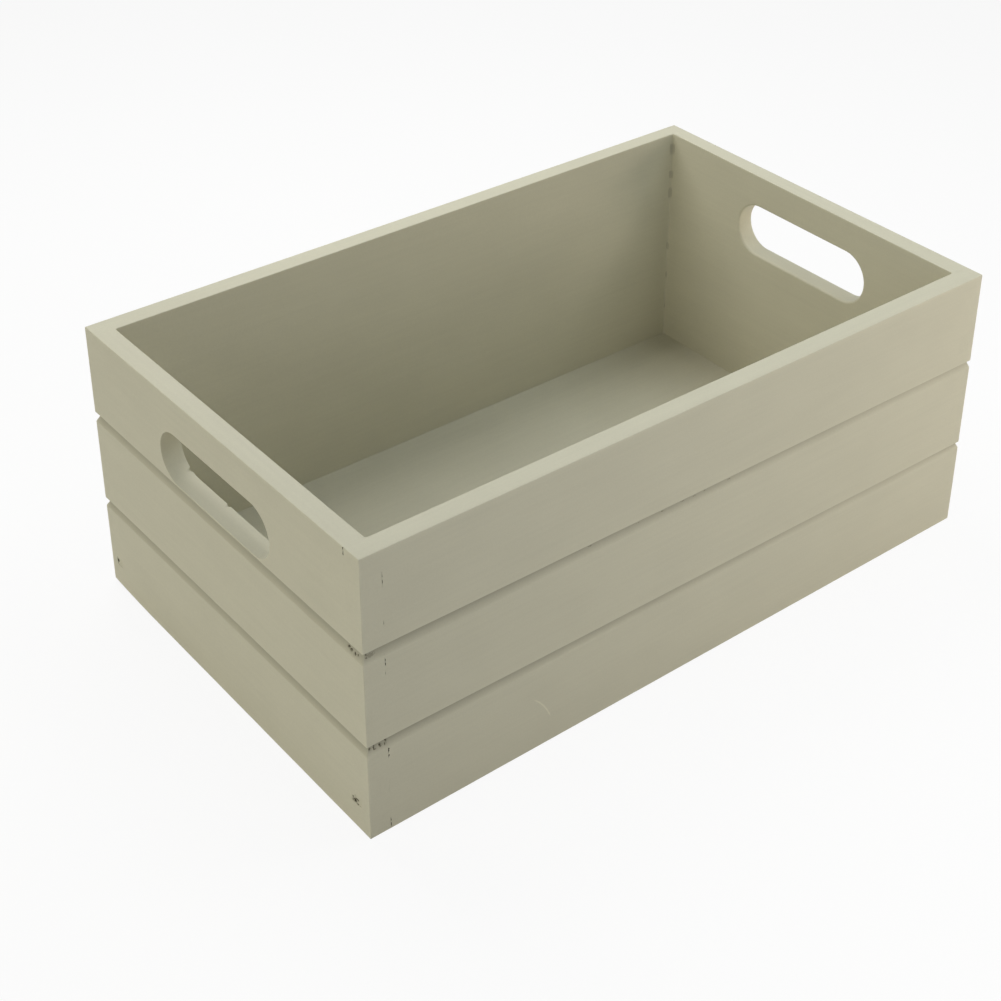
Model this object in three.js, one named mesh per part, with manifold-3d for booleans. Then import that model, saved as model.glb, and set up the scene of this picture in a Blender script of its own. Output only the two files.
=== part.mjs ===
// Open-topped storage box in painted wood: four box-jointed boards round a slotted-in bottom panel.
// Millimetres, +Z up. The origin is where the box stands, under its middle.
// +X runs along the long boards and +Y from the front board to the back one.

import * as THREE from 'three';
import { mergeVertices } from 'three/addons/utils/BufferGeometryUtils.js';
import Module from 'manifold-3d';

// Outside of the box
const boxLength = 264;
const boxWidth = 160;
const boxHeight = 105;
const wallThickness = 7.5;

// Box joints: straight fingers, stacked from the foot to the rim at each corner
const fingersPerCorner = 14;

// Sanding, once the frame is glued up
const cornerRadius = 1.2;
const arrisRadius = 0.6;

// V-grooves run round the outside and make each side look like a stack of slats
const slatsPerSide = 3;
const slatHeight = 34.6;
const grooveWidth = 4;
const grooveDepth = 2;

// Hand holes, one through the top slat of each end board
const handHoleLength = 65;
const handHoleHeight = 19.6;
const handHoleDrop = 23.2;
const handHoleArris = 1;

// Bottom panel, and the slot that holds its edges in all four boards
const panelThickness = 3;
const slotDepth = 3.5;
const panelPlay = 0.3;

// How far every cut runs past the wood
const overrun = 2;

// Steps that round forms are drawn in
const arrisSteps = 3;
const cornerSteps = 5;
const handHoleSteps = 14;

// Paint and filler
const sagePaint = { color: 0xbdb8a2, roughness: 0.62, metalness: 0 };
const sandedFiller = { color: 0xa9a48e, roughness: 0.85, metalness: 0 };

// Sizes that follow from those above
const innerLength = boxLength - 2 * wallThickness;
const innerWidth = boxWidth - 2 * wallThickness;
const fingerHeight = boxHeight / fingersPerCorner;

// The panel slot runs out through the middle of the long boards' lowest finger, so that it breaks
// out at the ends of the box only. The finger below it belongs to the end boards.
const slotFinger = 1;
const slotHeight = panelThickness + panelPlay;
const slotFloor = (slotFinger * fingerHeight + (slotFinger + 1) * fingerHeight - slotHeight) / 2;

const wasm = await Module();
wasm.setup();

// Turns a closed three.js geometry into a solid that can be joined and cut.
function solid(geometry) {
	geometry.deleteAttribute('normal');
	geometry.deleteAttribute('uv');
	const merged = mergeVertices(geometry);
	const mesh = new wasm.Mesh({
		numProp: 3,
		vertProperties: merged.attributes.position.array,
		triVerts: Uint32Array.from(merged.index.array),
	});
	return new wasm.Manifold(mesh);
}

// A rectangular block that fills one span along each axis.
function block([x0, x1], [y0, y1], [z0, z1]) {
	const geometry = new THREE.BoxGeometry();
	const corners = geometry.attributes.position;
	for (let i = 0; i < corners.count; i++) {
		corners.setX(i, corners.getX(i) < 0 ? x0 : x1);
		corners.setY(i, corners.getY(i) < 0 ? y0 : y1);
		corners.setZ(i, corners.getZ(i) < 0 ? z0 : z1);
	}
	return solid(geometry);
}

// A span on the low or the high side of the middle, measured outwards from it.
function spanOn(side, from, to) {
	return side < 0 ? [-to, -from] : [from, to];
}

// The height of one finger. The lowest and the topmost run past the board, so that their sockets open.
function fingerSpan(index) {
	const low = index === 0 ? -overrun : index * fingerHeight;
	const high = index === fingersPerCorner - 1 ? boxHeight + overrun : (index + 1) * fingerHeight;
	return [low, high];
}

// The height of the panel slot.
const slotSpan = [slotFloor, slotFloor + slotHeight];

// A rectangle about the origin, with rounded corners if a radius is given.
function rectangle(length, width, radius) {
	const x = length / 2 - radius;
	const y = width / 2 - radius;
	const centres = [[x, y], [-x, y], [-x, -y], [x, -y]];
	const outline = new THREE.Shape();
	if (radius === 0) {
		return outline.setFromPoints(centres.map(([cx, cy]) => new THREE.Vector2(cx, cy)));
	}
	centres.forEach(([cx, cy], corner) => {
		const start = corner * Math.PI / 2;
		outline.absarc(cx, cy, radius, start, start + Math.PI / 2, false);
	});
	return outline.closePath();
}

// The frame after sanding: a ring with rounded corners, and its rim and foot eased inside and out.
function sandedFrame() {
	const ring = rectangle(boxLength, boxWidth, cornerRadius);
	ring.holes.push(rectangle(innerLength, innerWidth, 0));
	const geometry = new THREE.ExtrudeGeometry(ring, {
		depth: boxHeight - 2 * arrisRadius,
		bevelThickness: arrisRadius,
		bevelSize: arrisRadius,
		bevelOffset: -arrisRadius,
		bevelSegments: arrisSteps,
		curveSegments: cornerSteps,
	});
	geometry.translate(0, 0, arrisRadius);
	return solid(geometry);
}

// One V-groove along a face that lies faceDistance from the middle. Turn 0 is the front face.
function grooveCut(height, faceDistance, faceLength, turn) {
	const reach = grooveDepth + overrun;
	const halfMouth = grooveWidth / 2 * reach / grooveDepth;
	const section = new THREE.Shape([
		new THREE.Vector2(grooveDepth - faceDistance, height),
		new THREE.Vector2(-overrun - faceDistance, height + halfMouth),
		new THREE.Vector2(-overrun - faceDistance, height - halfMouth),
	]);
	const length = faceLength + 2 * overrun;
	const geometry = new THREE.ExtrudeGeometry(section, { depth: length, bevelEnabled: false });
	const along = new THREE.Vector3(1, 0, 0);
	const inwards = new THREE.Vector3(0, 1, 0);
	const up = new THREE.Vector3(0, 0, 1);
	geometry.translate(0, 0, -length / 2);
	geometry.applyMatrix4(new THREE.Matrix4().makeBasis(inwards, up, along));
	geometry.rotateZ(turn);
	return solid(geometry);
}

// All grooves. Those of neighbouring faces meet in a mitre at the corners.
function slatGrooves() {
	const faces = [
		[boxWidth / 2, boxLength],
		[boxLength / 2, boxWidth],
		[boxWidth / 2, boxLength],
		[boxLength / 2, boxWidth],
	];
	const cuts = [];
	for (let slat = 1; slat < slatsPerSide; slat++) {
		faces.forEach(([faceDistance, faceLength], face) => {
			cuts.push(grooveCut(slat * slatHeight, faceDistance, faceLength, face * Math.PI / 2));
		});
	}
	return cuts.reduce((all, cut) => all.add(cut));
}

// The outline of a hand hole, a slot with round ends, grown by a margin all round.
function handHoleOutline(margin) {
	const radius = handHoleHeight / 2 + margin;
	const centre = (handHoleLength - handHoleHeight) / 2;
	const points = [];
	for (const end of [1, -1]) {
		for (let step = 0; step <= handHoleSteps; step++) {
			const angle = Math.PI * (step / handHoleSteps - 1 / 2);
			const across = end * (centre + radius * Math.cos(angle));
			points.push([across, end * radius * Math.sin(angle)]);
		}
	}
	return points;
}

// The tool that cuts a hand hole: outlines lofted through the board, flaring by a quarter round at
// both faces, which eases the edges that the fingers close on.
function handHoleCut() {
	const outerFace = -boxLength / 2;
	const height = boxHeight - handHoleDrop;
	const sections = [[-overrun, handHoleArris]];
	for (let step = 0; step <= arrisSteps; step++) {
		const angle = step / arrisSteps * Math.PI / 2;
		sections.push([handHoleArris * (1 - Math.cos(angle)), handHoleArris * (1 - Math.sin(angle))]);
	}
	const farHalf = sections.map(([depth, margin]) => [wallThickness - depth, margin]).reverse();
	const rings = [...sections, ...farHalf].map(([depth, margin]) =>
		handHoleOutline(margin).map(([y, z]) => [outerFace + depth, y, height + z]));
	return loft(rings);
}

// A solid through rings of as many points each, closed at both ends by fans from their middles. Seen
// against the way that the rings follow each other, their points run anticlockwise.
function loft(rings) {
	const count = rings[0].length;
	const middles = [rings[0], rings[rings.length - 1]].map((ring) => {
		const sum = ring.reduce((total, point) => total.map((value, axis) => value + point[axis]));
		return sum.map((value) => value / count);
	});
	const firstMiddle = rings.length * count;
	const faces = [];
	for (let i = 0; i < count; i++) {
		const next = (i + 1) % count;
		for (let ring = 0; ring < rings.length - 1; ring++) {
			const here = ring * count;
			const there = here + count;
			faces.push(here + i, here + next, there + next);
			faces.push(here + i, there + next, there + i);
		}
		const last = (rings.length - 1) * count;
		faces.push(firstMiddle, next, i);
		faces.push(firstMiddle + 1, last + i, last + next);
	}
	const geometry = new THREE.BufferGeometry();
	const points = [...rings.flat(), ...middles].flat();
	geometry.setAttribute('position', new THREE.Float32BufferAttribute(points, 3));
	geometry.setIndex(faces);
	return solid(geometry);
}

const frame = sandedFrame();
const grooves = slatGrooves();

// A long board, in the front one's place. The end boards own its lowest finger, and it owns the
// topmost, so it loses the even fingers, counted from 0 at the foot.
function longBoard() {
	const outerFace = -boxWidth / 2;
	const innerFace = outerFace + wallThickness;
	const through = [outerFace - overrun, innerFace + overrun];
	const fullLength = [-boxLength / 2 - overrun, boxLength / 2 + overrun];
	let board = block([-boxLength / 2, boxLength / 2], [outerFace, innerFace], [0, boxHeight]);
	for (let finger = 0; finger < fingersPerCorner; finger += 2) {
		for (const end of [-1, 1]) {
			const socket = spanOn(end, innerLength / 2, boxLength / 2 + overrun);
			board = board.subtract(block(socket, through, fingerSpan(finger)));
		}
	}
	const slot = block(fullLength, [innerFace - slotDepth, innerFace + overrun], slotSpan);
	return board.intersect(frame).subtract(grooves).subtract(slot);
}

// An end board, in the left one's place, with the odd fingers cut away and the hand hole through it.
function endBoard() {
	const outerFace = -boxLength / 2;
	const innerFace = outerFace + wallThickness;
	const through = [outerFace - overrun, innerFace + overrun];
	const fullWidth = [-boxWidth / 2 - overrun, boxWidth / 2 + overrun];
	let board = block([outerFace, innerFace], [-boxWidth / 2, boxWidth / 2], [0, boxHeight]);
	for (let finger = 1; finger < fingersPerCorner; finger += 2) {
		for (const end of [-1, 1]) {
			const socket = spanOn(end, innerWidth / 2, boxWidth / 2 + overrun);
			board = board.subtract(block(through, socket, fingerSpan(finger)));
		}
	}
	const slot = block([innerFace - slotDepth, innerFace + overrun], fullWidth, slotSpan);
	return board.intersect(frame).subtract(grooves).subtract(slot).subtract(handHoleCut());
}

// The bottom panel rests on the slot's lower side and keeps its play at the edges and above.
function bottomPanel() {
	const x = innerLength / 2 + slotDepth - panelPlay;
	const y = innerWidth / 2 + slotDepth - panelPlay;
	return block([-x, x], [-y, y], [slotFloor, slotFloor + panelThickness]);
}

// Filler stops the slot where it runs out at a long board's end, from the end face to the depth of
// the end board's own slot.
function slotFiller(end, side) {
	const along = spanOn(end, innerLength / 2 + slotDepth, boxLength / 2);
	const across = spanOn(side, innerWidth / 2, innerWidth / 2 + slotDepth);
	return block(along, across, slotSpan);
}

// A named mesh of a finished solid.
function piece(name, body, paint) {
	const { vertProperties, triVerts } = body.getMesh();
	const geometry = new THREE.BufferGeometry();
	geometry.setAttribute('position', new THREE.BufferAttribute(vertProperties, 3));
	geometry.setIndex(new THREE.BufferAttribute(triVerts, 1));
	geometry.computeVertexNormals();
	const mesh = new THREE.Mesh(geometry, new THREE.MeshStandardMaterial({ ...paint, flatShading: true }));
	mesh.name = name;
	return mesh;
}

const storageBox = new THREE.Group();

const frontWall = piece('front_wall', longBoard(), sagePaint);
const backWall = piece('back_wall', longBoard(), sagePaint);
const leftWall = piece('left_wall', endBoard(), sagePaint);
const rightWall = piece('right_wall', endBoard(), sagePaint);

// Opposite boards are alike, turned half way round the middle of the box.
backWall.rotation.z = Math.PI;
rightWall.rotation.z = Math.PI;
storageBox.add(frontWall, backWall, leftWall, rightWall);

storageBox.add(piece('bottom_panel', bottomPanel(), sagePaint));

for (const [sideName, side] of [['front', -1], ['back', 1]]) {
	for (const [endName, end] of [['left', -1], ['right', 1]]) {
		storageBox.add(piece(`slot_filler_${sideName}_${endName}`, slotFiller(end, side), sandedFiller));
	}
}

export default storageBox;
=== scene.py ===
"""A painted wooden storage box: four finger-jointed boards round a slotted-in bottom panel.

Every board is a plate. It has an outer and an inner sheet of points over one lattice, whose columns
are stations along the box's outline and whose rows are levels up the board. The lattice's cells that
the board owns, its fingers and the wood round its hand hole, are closed round their edges by strips
from the outer sheet to the inner one. All four boards read their outline, grooves and unevenness from
the same functions of the way round the box, so that they meet flush at the corners.

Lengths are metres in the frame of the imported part: +X along the long boards, +Z up.
"""

import logging
import math
from dataclasses import dataclass, field, replace
from enum import Enum

import bpy
import numpy as np
from mathutils import Matrix, Vector


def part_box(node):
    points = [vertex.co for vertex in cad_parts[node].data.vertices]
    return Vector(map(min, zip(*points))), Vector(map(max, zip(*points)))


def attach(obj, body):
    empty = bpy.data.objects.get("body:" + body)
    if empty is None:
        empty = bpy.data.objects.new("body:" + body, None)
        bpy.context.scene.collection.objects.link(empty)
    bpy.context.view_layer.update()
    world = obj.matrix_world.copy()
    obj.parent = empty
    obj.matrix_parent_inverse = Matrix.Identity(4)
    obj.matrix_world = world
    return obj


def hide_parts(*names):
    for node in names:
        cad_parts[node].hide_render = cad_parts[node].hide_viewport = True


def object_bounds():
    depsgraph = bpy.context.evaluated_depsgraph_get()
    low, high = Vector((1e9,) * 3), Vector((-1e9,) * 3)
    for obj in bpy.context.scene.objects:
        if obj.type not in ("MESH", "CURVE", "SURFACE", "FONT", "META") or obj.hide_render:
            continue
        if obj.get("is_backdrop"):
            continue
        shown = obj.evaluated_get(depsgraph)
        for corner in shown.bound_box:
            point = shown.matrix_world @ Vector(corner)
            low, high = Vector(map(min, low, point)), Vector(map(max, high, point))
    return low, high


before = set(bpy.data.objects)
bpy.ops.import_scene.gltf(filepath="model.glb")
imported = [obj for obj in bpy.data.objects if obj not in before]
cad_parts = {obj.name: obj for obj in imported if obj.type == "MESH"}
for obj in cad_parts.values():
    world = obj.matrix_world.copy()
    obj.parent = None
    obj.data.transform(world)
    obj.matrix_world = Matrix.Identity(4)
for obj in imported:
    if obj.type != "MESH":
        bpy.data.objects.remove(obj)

LOG = logging.getLogger("storage_box")
MM = 0.001
Array = np.ndarray
Tree = bpy.types.NodeTree
Socket = bpy.types.NodeSocket
BODY = "root"
# Points in one place of the weld's size are joined. Lattice lines are rounded to the decimals.
WELD = 1e-8
TRACE = 1e-9
DECIMALS = 9
SHARP_ANGLE = math.radians(32)
RING_FADE = 20 * MM
FLOAT = "NodeSocketFloat"
COLOUR = "NodeSocketColor"
VECTOR = "NodeSocketVector"
SAGE = (0.585, 0.560, 0.440)
SCUFF_LIFT = 0.18
FILLER_ROUGHNESS = 0.8


class Side(Enum):
    """The sides of the box in the order that its outline takes, each with its quarter turns."""

    FRONT = 0
    RIGHT = 1
    BACK = 2
    LEFT = 3


class Owner(Enum):
    """Which fingers of a corner a board owns, counted from 0 at the foot."""

    EVEN = 0
    ODD = 1


@dataclass(frozen=True)
class BoxSizes:
    """Main sizes of the box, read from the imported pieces.

    Attributes:
        half_length: Half of the outside along X.
        half_width: Half of the outside along Y.
        height: Height of the rim over the foot.
        wall: Thickness of the boards.
        slot_floor: Height of the lower side of the panel slot.
        slot_top: Height of its upper side.
        slot_depth: How deep the slot goes into the boards.
    """

    half_length: float
    half_width: float
    height: float
    wall: float
    slot_floor: float
    slot_top: float
    slot_depth: float

    @classmethod
    def from_frame(cls) -> "BoxSizes":
        """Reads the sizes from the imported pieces.

        Returns:
            The sizes of the box.
        """
        _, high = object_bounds()
        front_low, front_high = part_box("front_wall")
        filler_low, filler_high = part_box("slot_filler_front_left")
        return cls(
            half_length=high.x,
            half_width=high.y,
            height=high.z,
            wall=front_high.y - front_low.y,
            slot_floor=filler_low.z,
            slot_top=filler_high.z,
            slot_depth=filler_high.y - filler_low.y,
        )

    def corner_distances(self) -> Array:
        """The way round the box to each corner, from the near left one and back to it."""
        return np.cumsum([0, *(2 * self.half_length, 2 * self.half_width) * 2])


@dataclass(frozen=True)
class SandedEdges:
    """Radii of the sanded edges.

    Attributes:
        corner: Radius of the upright corners.
        least_corner: Radius that is left to them deep in a groove.
        arris: Radius of the rim's and the foot's edges.
        inner_corner: Radius of the bead of glue and paint in the inner corners.
    """

    corner: float = 0.3 * MM
    least_corner: float = 0.12 * MM
    arris: float = 0.3 * MM
    inner_corner: float = 0.7 * MM

    def bead(self, distance: Array, eased: Array) -> Array:
        """How far the bead in an inner corner stands out from the inner face.

        Its section is an arc about the point that lies its radius from both inner faces. Where the
        faces are eased, the arc's radius is greater by as much.

        Args:
            distance: Distance along the inner face from the corner.
            eased: How far the face is eased.

        Returns:
            The height over the plain face, which is minus the easing beyond the bead.
        """
        across = np.clip(self.inner_corner - distance, 0, None)
        reach = np.maximum(self.inner_corner + eased, across)
        return self.inner_corner - np.sqrt(reach ** 2 - across ** 2)

    def mitre(self, eased: Array) -> Array:
        """How far from both inner faces the two halves of the bead meet."""
        return self.inner_corner - (self.inner_corner + eased) * math.sqrt(0.5)


@dataclass(frozen=True)
class Groove:
    """A groove round the outside, a V that leans upwards. Each tuple has its value at the near left,
    near right, far right and far left corner, between which it changes evenly.

    Attributes:
        upper_lip: Height of its upper lip.
        lower_lip: Height of its lower lip.
        depth: Depth at its bottom.
        bottom_share: How far its bottom lies down between the lips.
        lip: Depth over which the paint softens its lips.
        lip_reach: How far over the face the flanks' lines have run where that softening ends.
        bottom: Share of its depth over which paint softens its bottom.
        wander: How far its lips wander up and down.
        lower_wave: Length of the lower lip's waves.
        upper_wave: Length of the upper lip's waves.
        seed: Picks how they wander.
        crisp_steps: Places of the lattice rows next to a lip, over it.
        flank_step: Greatest distance between the rows on its flanks.
        shift_reach: How far from a lip the rows still follow it.
    """

    upper_lip: tuple[float, float, float, float]
    lower_lip: tuple[float, float, float, float]
    depth: tuple[float, float, float, float]
    bottom_share: float = 0.2
    lip: float = 0.06 * MM
    lip_reach: float = 2 * MM
    bottom: float = 0.06
    wander: float = 0.07 * MM
    lower_wave: float = 55 * MM
    upper_wave: float = 80 * MM
    seed: int = 11
    crisp_steps: tuple[float, float, float, float] = (0.25 * MM, 0.08 * MM, 0.0, -0.08 * MM)
    flank_step: float = 0.4 * MM
    shift_reach: float = 3 * MM

    def lips(self, way: Array, corners: Array) -> tuple[Array, Array]:
        """Heights of the lower and the upper lip.

        Args:
            way: Distance round the box.
            corners: The way round the box at its corners.

        Returns:
            The two heights at each place.
        """
        lower = self._between(self.lower_lip, way, corners)
        upper = self._between(self.upper_lip, way, corners)
        lower = lower + self.wander * ring_ripple(way, 0, corners, self.lower_wave, self.seed)
        upper = upper + self.wander * ring_ripple(way, 0, corners, self.upper_wave, self.seed + 1)
        return lower, upper

    def inset(self, way: Array, height: Array, corners: Array) -> Array:
        """Depth of the groove's surface behind the face.

        Each flank rises evenly from its lip to the bottom. The lesser of the two is taken, with the
        bottom softened, and what lies above the face is cut off, with the lips softened: the mean of
        the value and the root of its square plus the softening's square, less the trace that this
        leaves away from the groove.

        Args:
            way: Distance round the box.
            height: Height over the foot.
            corners: The way round the box at its corners.

        Returns:
            The depth, nought away from the groove but for a trace.
        """
        lower, upper = self.lips(way, corners)
        width = upper - lower
        from_upper = (upper - height) / (width * self.bottom_share)
        from_lower = (height - lower) / (width * (1 - self.bottom_share))
        apart = np.sqrt((from_upper - from_lower) ** 2 + self.bottom ** 2)
        depth = self._between(self.depth, way, corners) * (from_upper + from_lower - apart) / 2
        trace = self.lip ** 2 / (4 * self.lip_reach)
        return (depth + np.sqrt(depth ** 2 + self.lip ** 2)) / 2 - trace

    def crisp_rows(self) -> Array:
        """Heights of the lattice rows at its lips and bottom, as they are at the near left corner."""
        upper, lower = self.upper_lip[0], self.lower_lip[0]
        bottom = upper - (upper - lower) * self.bottom_share
        fine = np.array(self.crisp_steps)
        return np.concatenate([upper + fine, lower - fine, bottom + fine[1:]])

    def flank_rows(self) -> Array:
        """Heights of the lattice rows between them."""
        return evenly(self.lower_lip[0], self.upper_lip[0], self.flank_step)

    def shift(self, way: Array, height: Array, corners: Array) -> Array:
        """How far a row of the lattice rises or falls to follow the lips.

        The rows at the lips move by as much as the lips differ from the near left corner's, those
        between them move evenly, and the move fades to nought within its reach outside.

        Args:
            way: Distance round the box.
            height: Height of the row.
            corners: The way round the box at its corners.

        Returns:
            The move at each point.
        """
        reach = self.shift_reach
        first_lower, first_upper = self.lower_lip[0], self.upper_lip[0]
        lower, upper = self.lips(way, corners)
        share = np.clip((height - first_lower) / (first_upper - first_lower), 0, 1)
        below = np.clip((height - first_lower + reach) / reach, 0, 1)
        above = np.clip((first_upper + reach - height) / reach, 0, 1)
        move = (lower - first_lower) * (1 - share) + (upper - first_upper) * share
        return move * np.minimum(below, above)

    @staticmethod
    def _between(at_corners: tuple[float, ...], way: Array, corners: Array) -> Array:
        """Values that change evenly from corner to corner."""
        return np.interp(np.mod(way, corners[-1]), corners, [*at_corners, at_corners[0]])


@dataclass(frozen=True)
class Chip:
    """A ragged place where wood was torn out and the paint is broken.

    Attributes:
        along: Its middle, from the middle of the board, positive to the right seen from outside.
        height: Its middle, over the foot.
        half_length: How far it reaches along the board.
        half_height: How far it reaches up the board.
        depth: Its greatest depth.
        seed: Picks its ragged outline.
        bareness: How bare the wood is in its middle, from 0 to 1.
        ragged: How ragged its outline is.
        column_gap: Least distance between the lattice columns that draw it.
        row_gap: Least distance between the rows that do.
    """

    along: float
    height: float
    half_length: float
    half_height: float
    depth: float
    seed: int = 1
    bareness: float = 1.0
    ragged: float = 0.9
    column_gap: float = 0.25 * MM
    row_gap: float = 0.22 * MM

    def moved(self, distance: float) -> "Chip":
        """The same chip, further to the right."""
        return replace(self, along=self.along + distance)

    def strength(self, along: Array, height: Array) -> Array:
        """How strongly the chip is felt at each point, from 0 to 1.

        It falls with the square of the distance, measured in its reaches, and ends at the farthest
        square. Its ragged outline comes from a ripple whose waves are about as long as it reaches up,
        or as the shortest.

        Args:
            along: Places along the board.
            height: Heights over the foot.

        Returns:
            The strength.
        """
        middle, farthest, shortest = 1.25, 2.5, 0.5 * MM
        across = (along - self.along) / self.half_length
        up = (height - self.height) / self.half_height
        waves = ripple(along, height, max(self.half_height, shortest), self.seed)
        away = across ** 2 + up ** 2
        return np.clip(middle - away + self.ragged * waves, 0, 1) * (away < farthest)

    def columns(self) -> Array:
        """Places along the board at which lattice columns draw the chip."""
        return self._lines(self.along, self.half_length, self.column_gap)

    def rows(self) -> Array:
        """Heights at which lattice rows draw the chip."""
        return self._lines(self.height, self.half_height, self.row_gap)

    @staticmethod
    def _lines(middle: float, half: float, gap: float) -> Array:
        """Lattice lines up to half as far again as the chip reaches, a third of its reach apart."""
        reach = 1.5 * half
        return evenly(middle - reach, middle + reach, max(half / 3, gap))


@dataclass(frozen=True)
class OpenJoint:
    """A stretch of a joint line that filler and paint have left open.

    Attributes:
        hand: -1 at the board's left end seen from outside, 1 at its right end.
        low: Height at which it starts.
        high: Height at which it ends.
        width: Its greatest width.
        seed: Picks how ragged it is.
        row_gap: Greatest distance between the lattice rows that draw it.
        give: How far from the joint line the face gives way to it.
        bare_reach: How far from the joint line the wood is bare.
        bare_width: Width from which the wood there is fully bare.
    """

    hand: int
    low: float
    high: float
    width: float = 0.4 * MM
    seed: int = 1
    row_gap: float = 0.45 * MM
    give: float = 1.5 * MM
    bare_reach: float = 0.3 * MM
    bare_width: float = 0.3 * MM

    def opening(self, height: Array) -> Array:
        """How far the joint is open, as a share of its width: a half wave over the stretch, flattened
        by its fourth root, times a ragged ripple.

        Args:
            height: Heights over the foot.

        Returns:
            The share at each height.
        """
        mean, uneven, least, wavelength = 0.8, 0.6, 0.25, 1.3 * MM
        share = np.clip((height - self.low) / (self.high - self.low), 0, 1)
        waves = ripple(height, np.zeros_like(height), wavelength, self.seed)
        ragged = np.clip(mean + uneven * waves, least, 1)
        return ragged * np.clip(np.sin(np.pi * share), 0, 1) ** (1 / 4)

    def rows(self) -> Array:
        """Heights at which lattice rows draw the joint."""
        return evenly(self.low, self.high, self.row_gap)


@dataclass(frozen=True)
class HandHole:
    """A slot with round ends that the fingers of a hand go through.

    Attributes:
        length: Its length.
        height: Its height.
        middle: Height of its middle over the foot.
        offset: How far its middle lies along the board from the board's own.
        outer_easing: Radius of its outer edges.
        inner_easing: Radius of its inner edges.
    """

    length: float = 65 * MM
    height: float = 19.4 * MM
    middle: float = 81.8 * MM
    offset: float = 0.0
    outer_easing: float = 0.35 * MM
    inner_easing: float = 0.2 * MM

    @property
    def radius(self) -> float:
        """Radius of the round ends."""
        return self.height / 2

    @property
    def straight(self) -> float:
        """Half the length of the straight edges."""
        return self.length / 2 - self.radius

    @property
    def core(self) -> tuple[float, float]:
        """Half sizes of the rectangle whose corners lie in the middle of the hole's quarter rounds.

        The lattice leaves this rectangle out and is bent until its edge lies on the hole's edge."""
        reach = self.radius * math.sin(math.pi / 4)
        return self.straight + reach, reach

    def distance(self, along: Array, height: Array) -> Array:
        """Distance of points outside the hole from its edge: that from its middle line, less the
        radius of its round ends."""
        across = np.abs(along - self.offset)
        up = height - self.middle
        return np.hypot(np.clip(across - self.straight, 0, None), up) - self.radius


def ripple(first: Array, second: Array, wavelength: float, seed: int) -> Array:
    """A gentle unevenness: the mean of seven sine waves in seeded directions.

    Args:
        first: One coordinate of the points.
        second: The other coordinate.
        wavelength: Middle wavelength. The waves have 0.6 to 1.6 times it.
        seed: Picks the directions, lengths and phases.

    Returns:
        Values about 0, mostly between -1 and 1.
    """
    count, shortest, longest, gain = 7, 0.6, 1.6, 1.8
    draw = np.random.default_rng(seed)
    total = np.zeros(np.broadcast(first, second).shape)
    for _ in range(count):
        angle, phase = draw.uniform(0, 2 * np.pi, 2)
        number = 2 * np.pi / (wavelength * draw.uniform(shortest, longest))
        total += np.sin(number * (first * np.cos(angle) + second * np.sin(angle)) + phase)
    return total / count * gain


def ring_ripple(way: Array, height: Array | float, corners: Array, wavelength: float, seed: int) -> Array:
    """A ripple round the box that closes on itself, because it fades evenly to nought towards the
    near left corner, where the way round starts and ends.

    Args:
        way: Distance round the box.
        height: Height over the foot.
        corners: The way round the box at its corners.
        wavelength: Middle wavelength.
        seed: Picks the waves.

    Returns:
        Values about 0, mostly between -1 and 1.
    """
    round_way = np.mod(way, corners[-1])
    apart = np.minimum(round_way, corners[-1] - round_way)
    return np.clip(apart / RING_FADE, 0, 1) * ripple(round_way, height, wavelength, seed)


def round_over(distance: Array, radius: float) -> Array:
    """How far a quarter round falls back at a distance from its edge, nought beyond the radius."""
    left = radius - np.clip(distance, 0, radius)
    return radius - np.sqrt(radius ** 2 - left ** 2)


def quarter_steps(radius: float, count: int) -> Array:
    """Distances from an edge at which a quarter round is drawn, evenly spaced in its angle."""
    return radius * (1 - np.sin(np.linspace(0, np.pi / 2, count)))


def evenly(low: float, high: float, step: float) -> Array:
    """Values from low to high, both included, at most a step apart."""
    return np.linspace(low, high, max(int(np.ceil((high - low) / step - TRACE)), 1) + 1)


def thinned(values: Array, gap: float, kept: Array) -> Array:
    """Sorted values at most one to a gap, none within two thirds of a gap of a kept one, and the kept.

    Args:
        values: Values to thin, which are rounded to whole gaps.
        gap: Least distance between them.
        kept: Values that have to stay as they are.

    Returns:
        The sorted values.
    """
    kept = np.unique(np.round(kept, DECIMALS))
    values = np.unique(np.round(values / gap)) * gap
    far = np.abs(values[:, None] - kept[None, :]).min(axis=1) > gap * 2 / 3
    return np.unique(np.concatenate([values[far], kept]))


def welded(points: Array, faces: Array, size: float) -> tuple[Array, Array]:
    """Joins the points that lie in one place.

    Args:
        points: Places of the points.
        faces: Point numbers of the faces.
        size: Size of a place.

    Returns:
        The numbers of the points that stay, and the faces with their new point numbers.
    """
    keys = np.round(points / size).astype(np.int64)
    _, first, place = np.unique(keys, axis=0, return_index=True, return_inverse=True)
    return first, place.reshape(-1)[faces]


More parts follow.
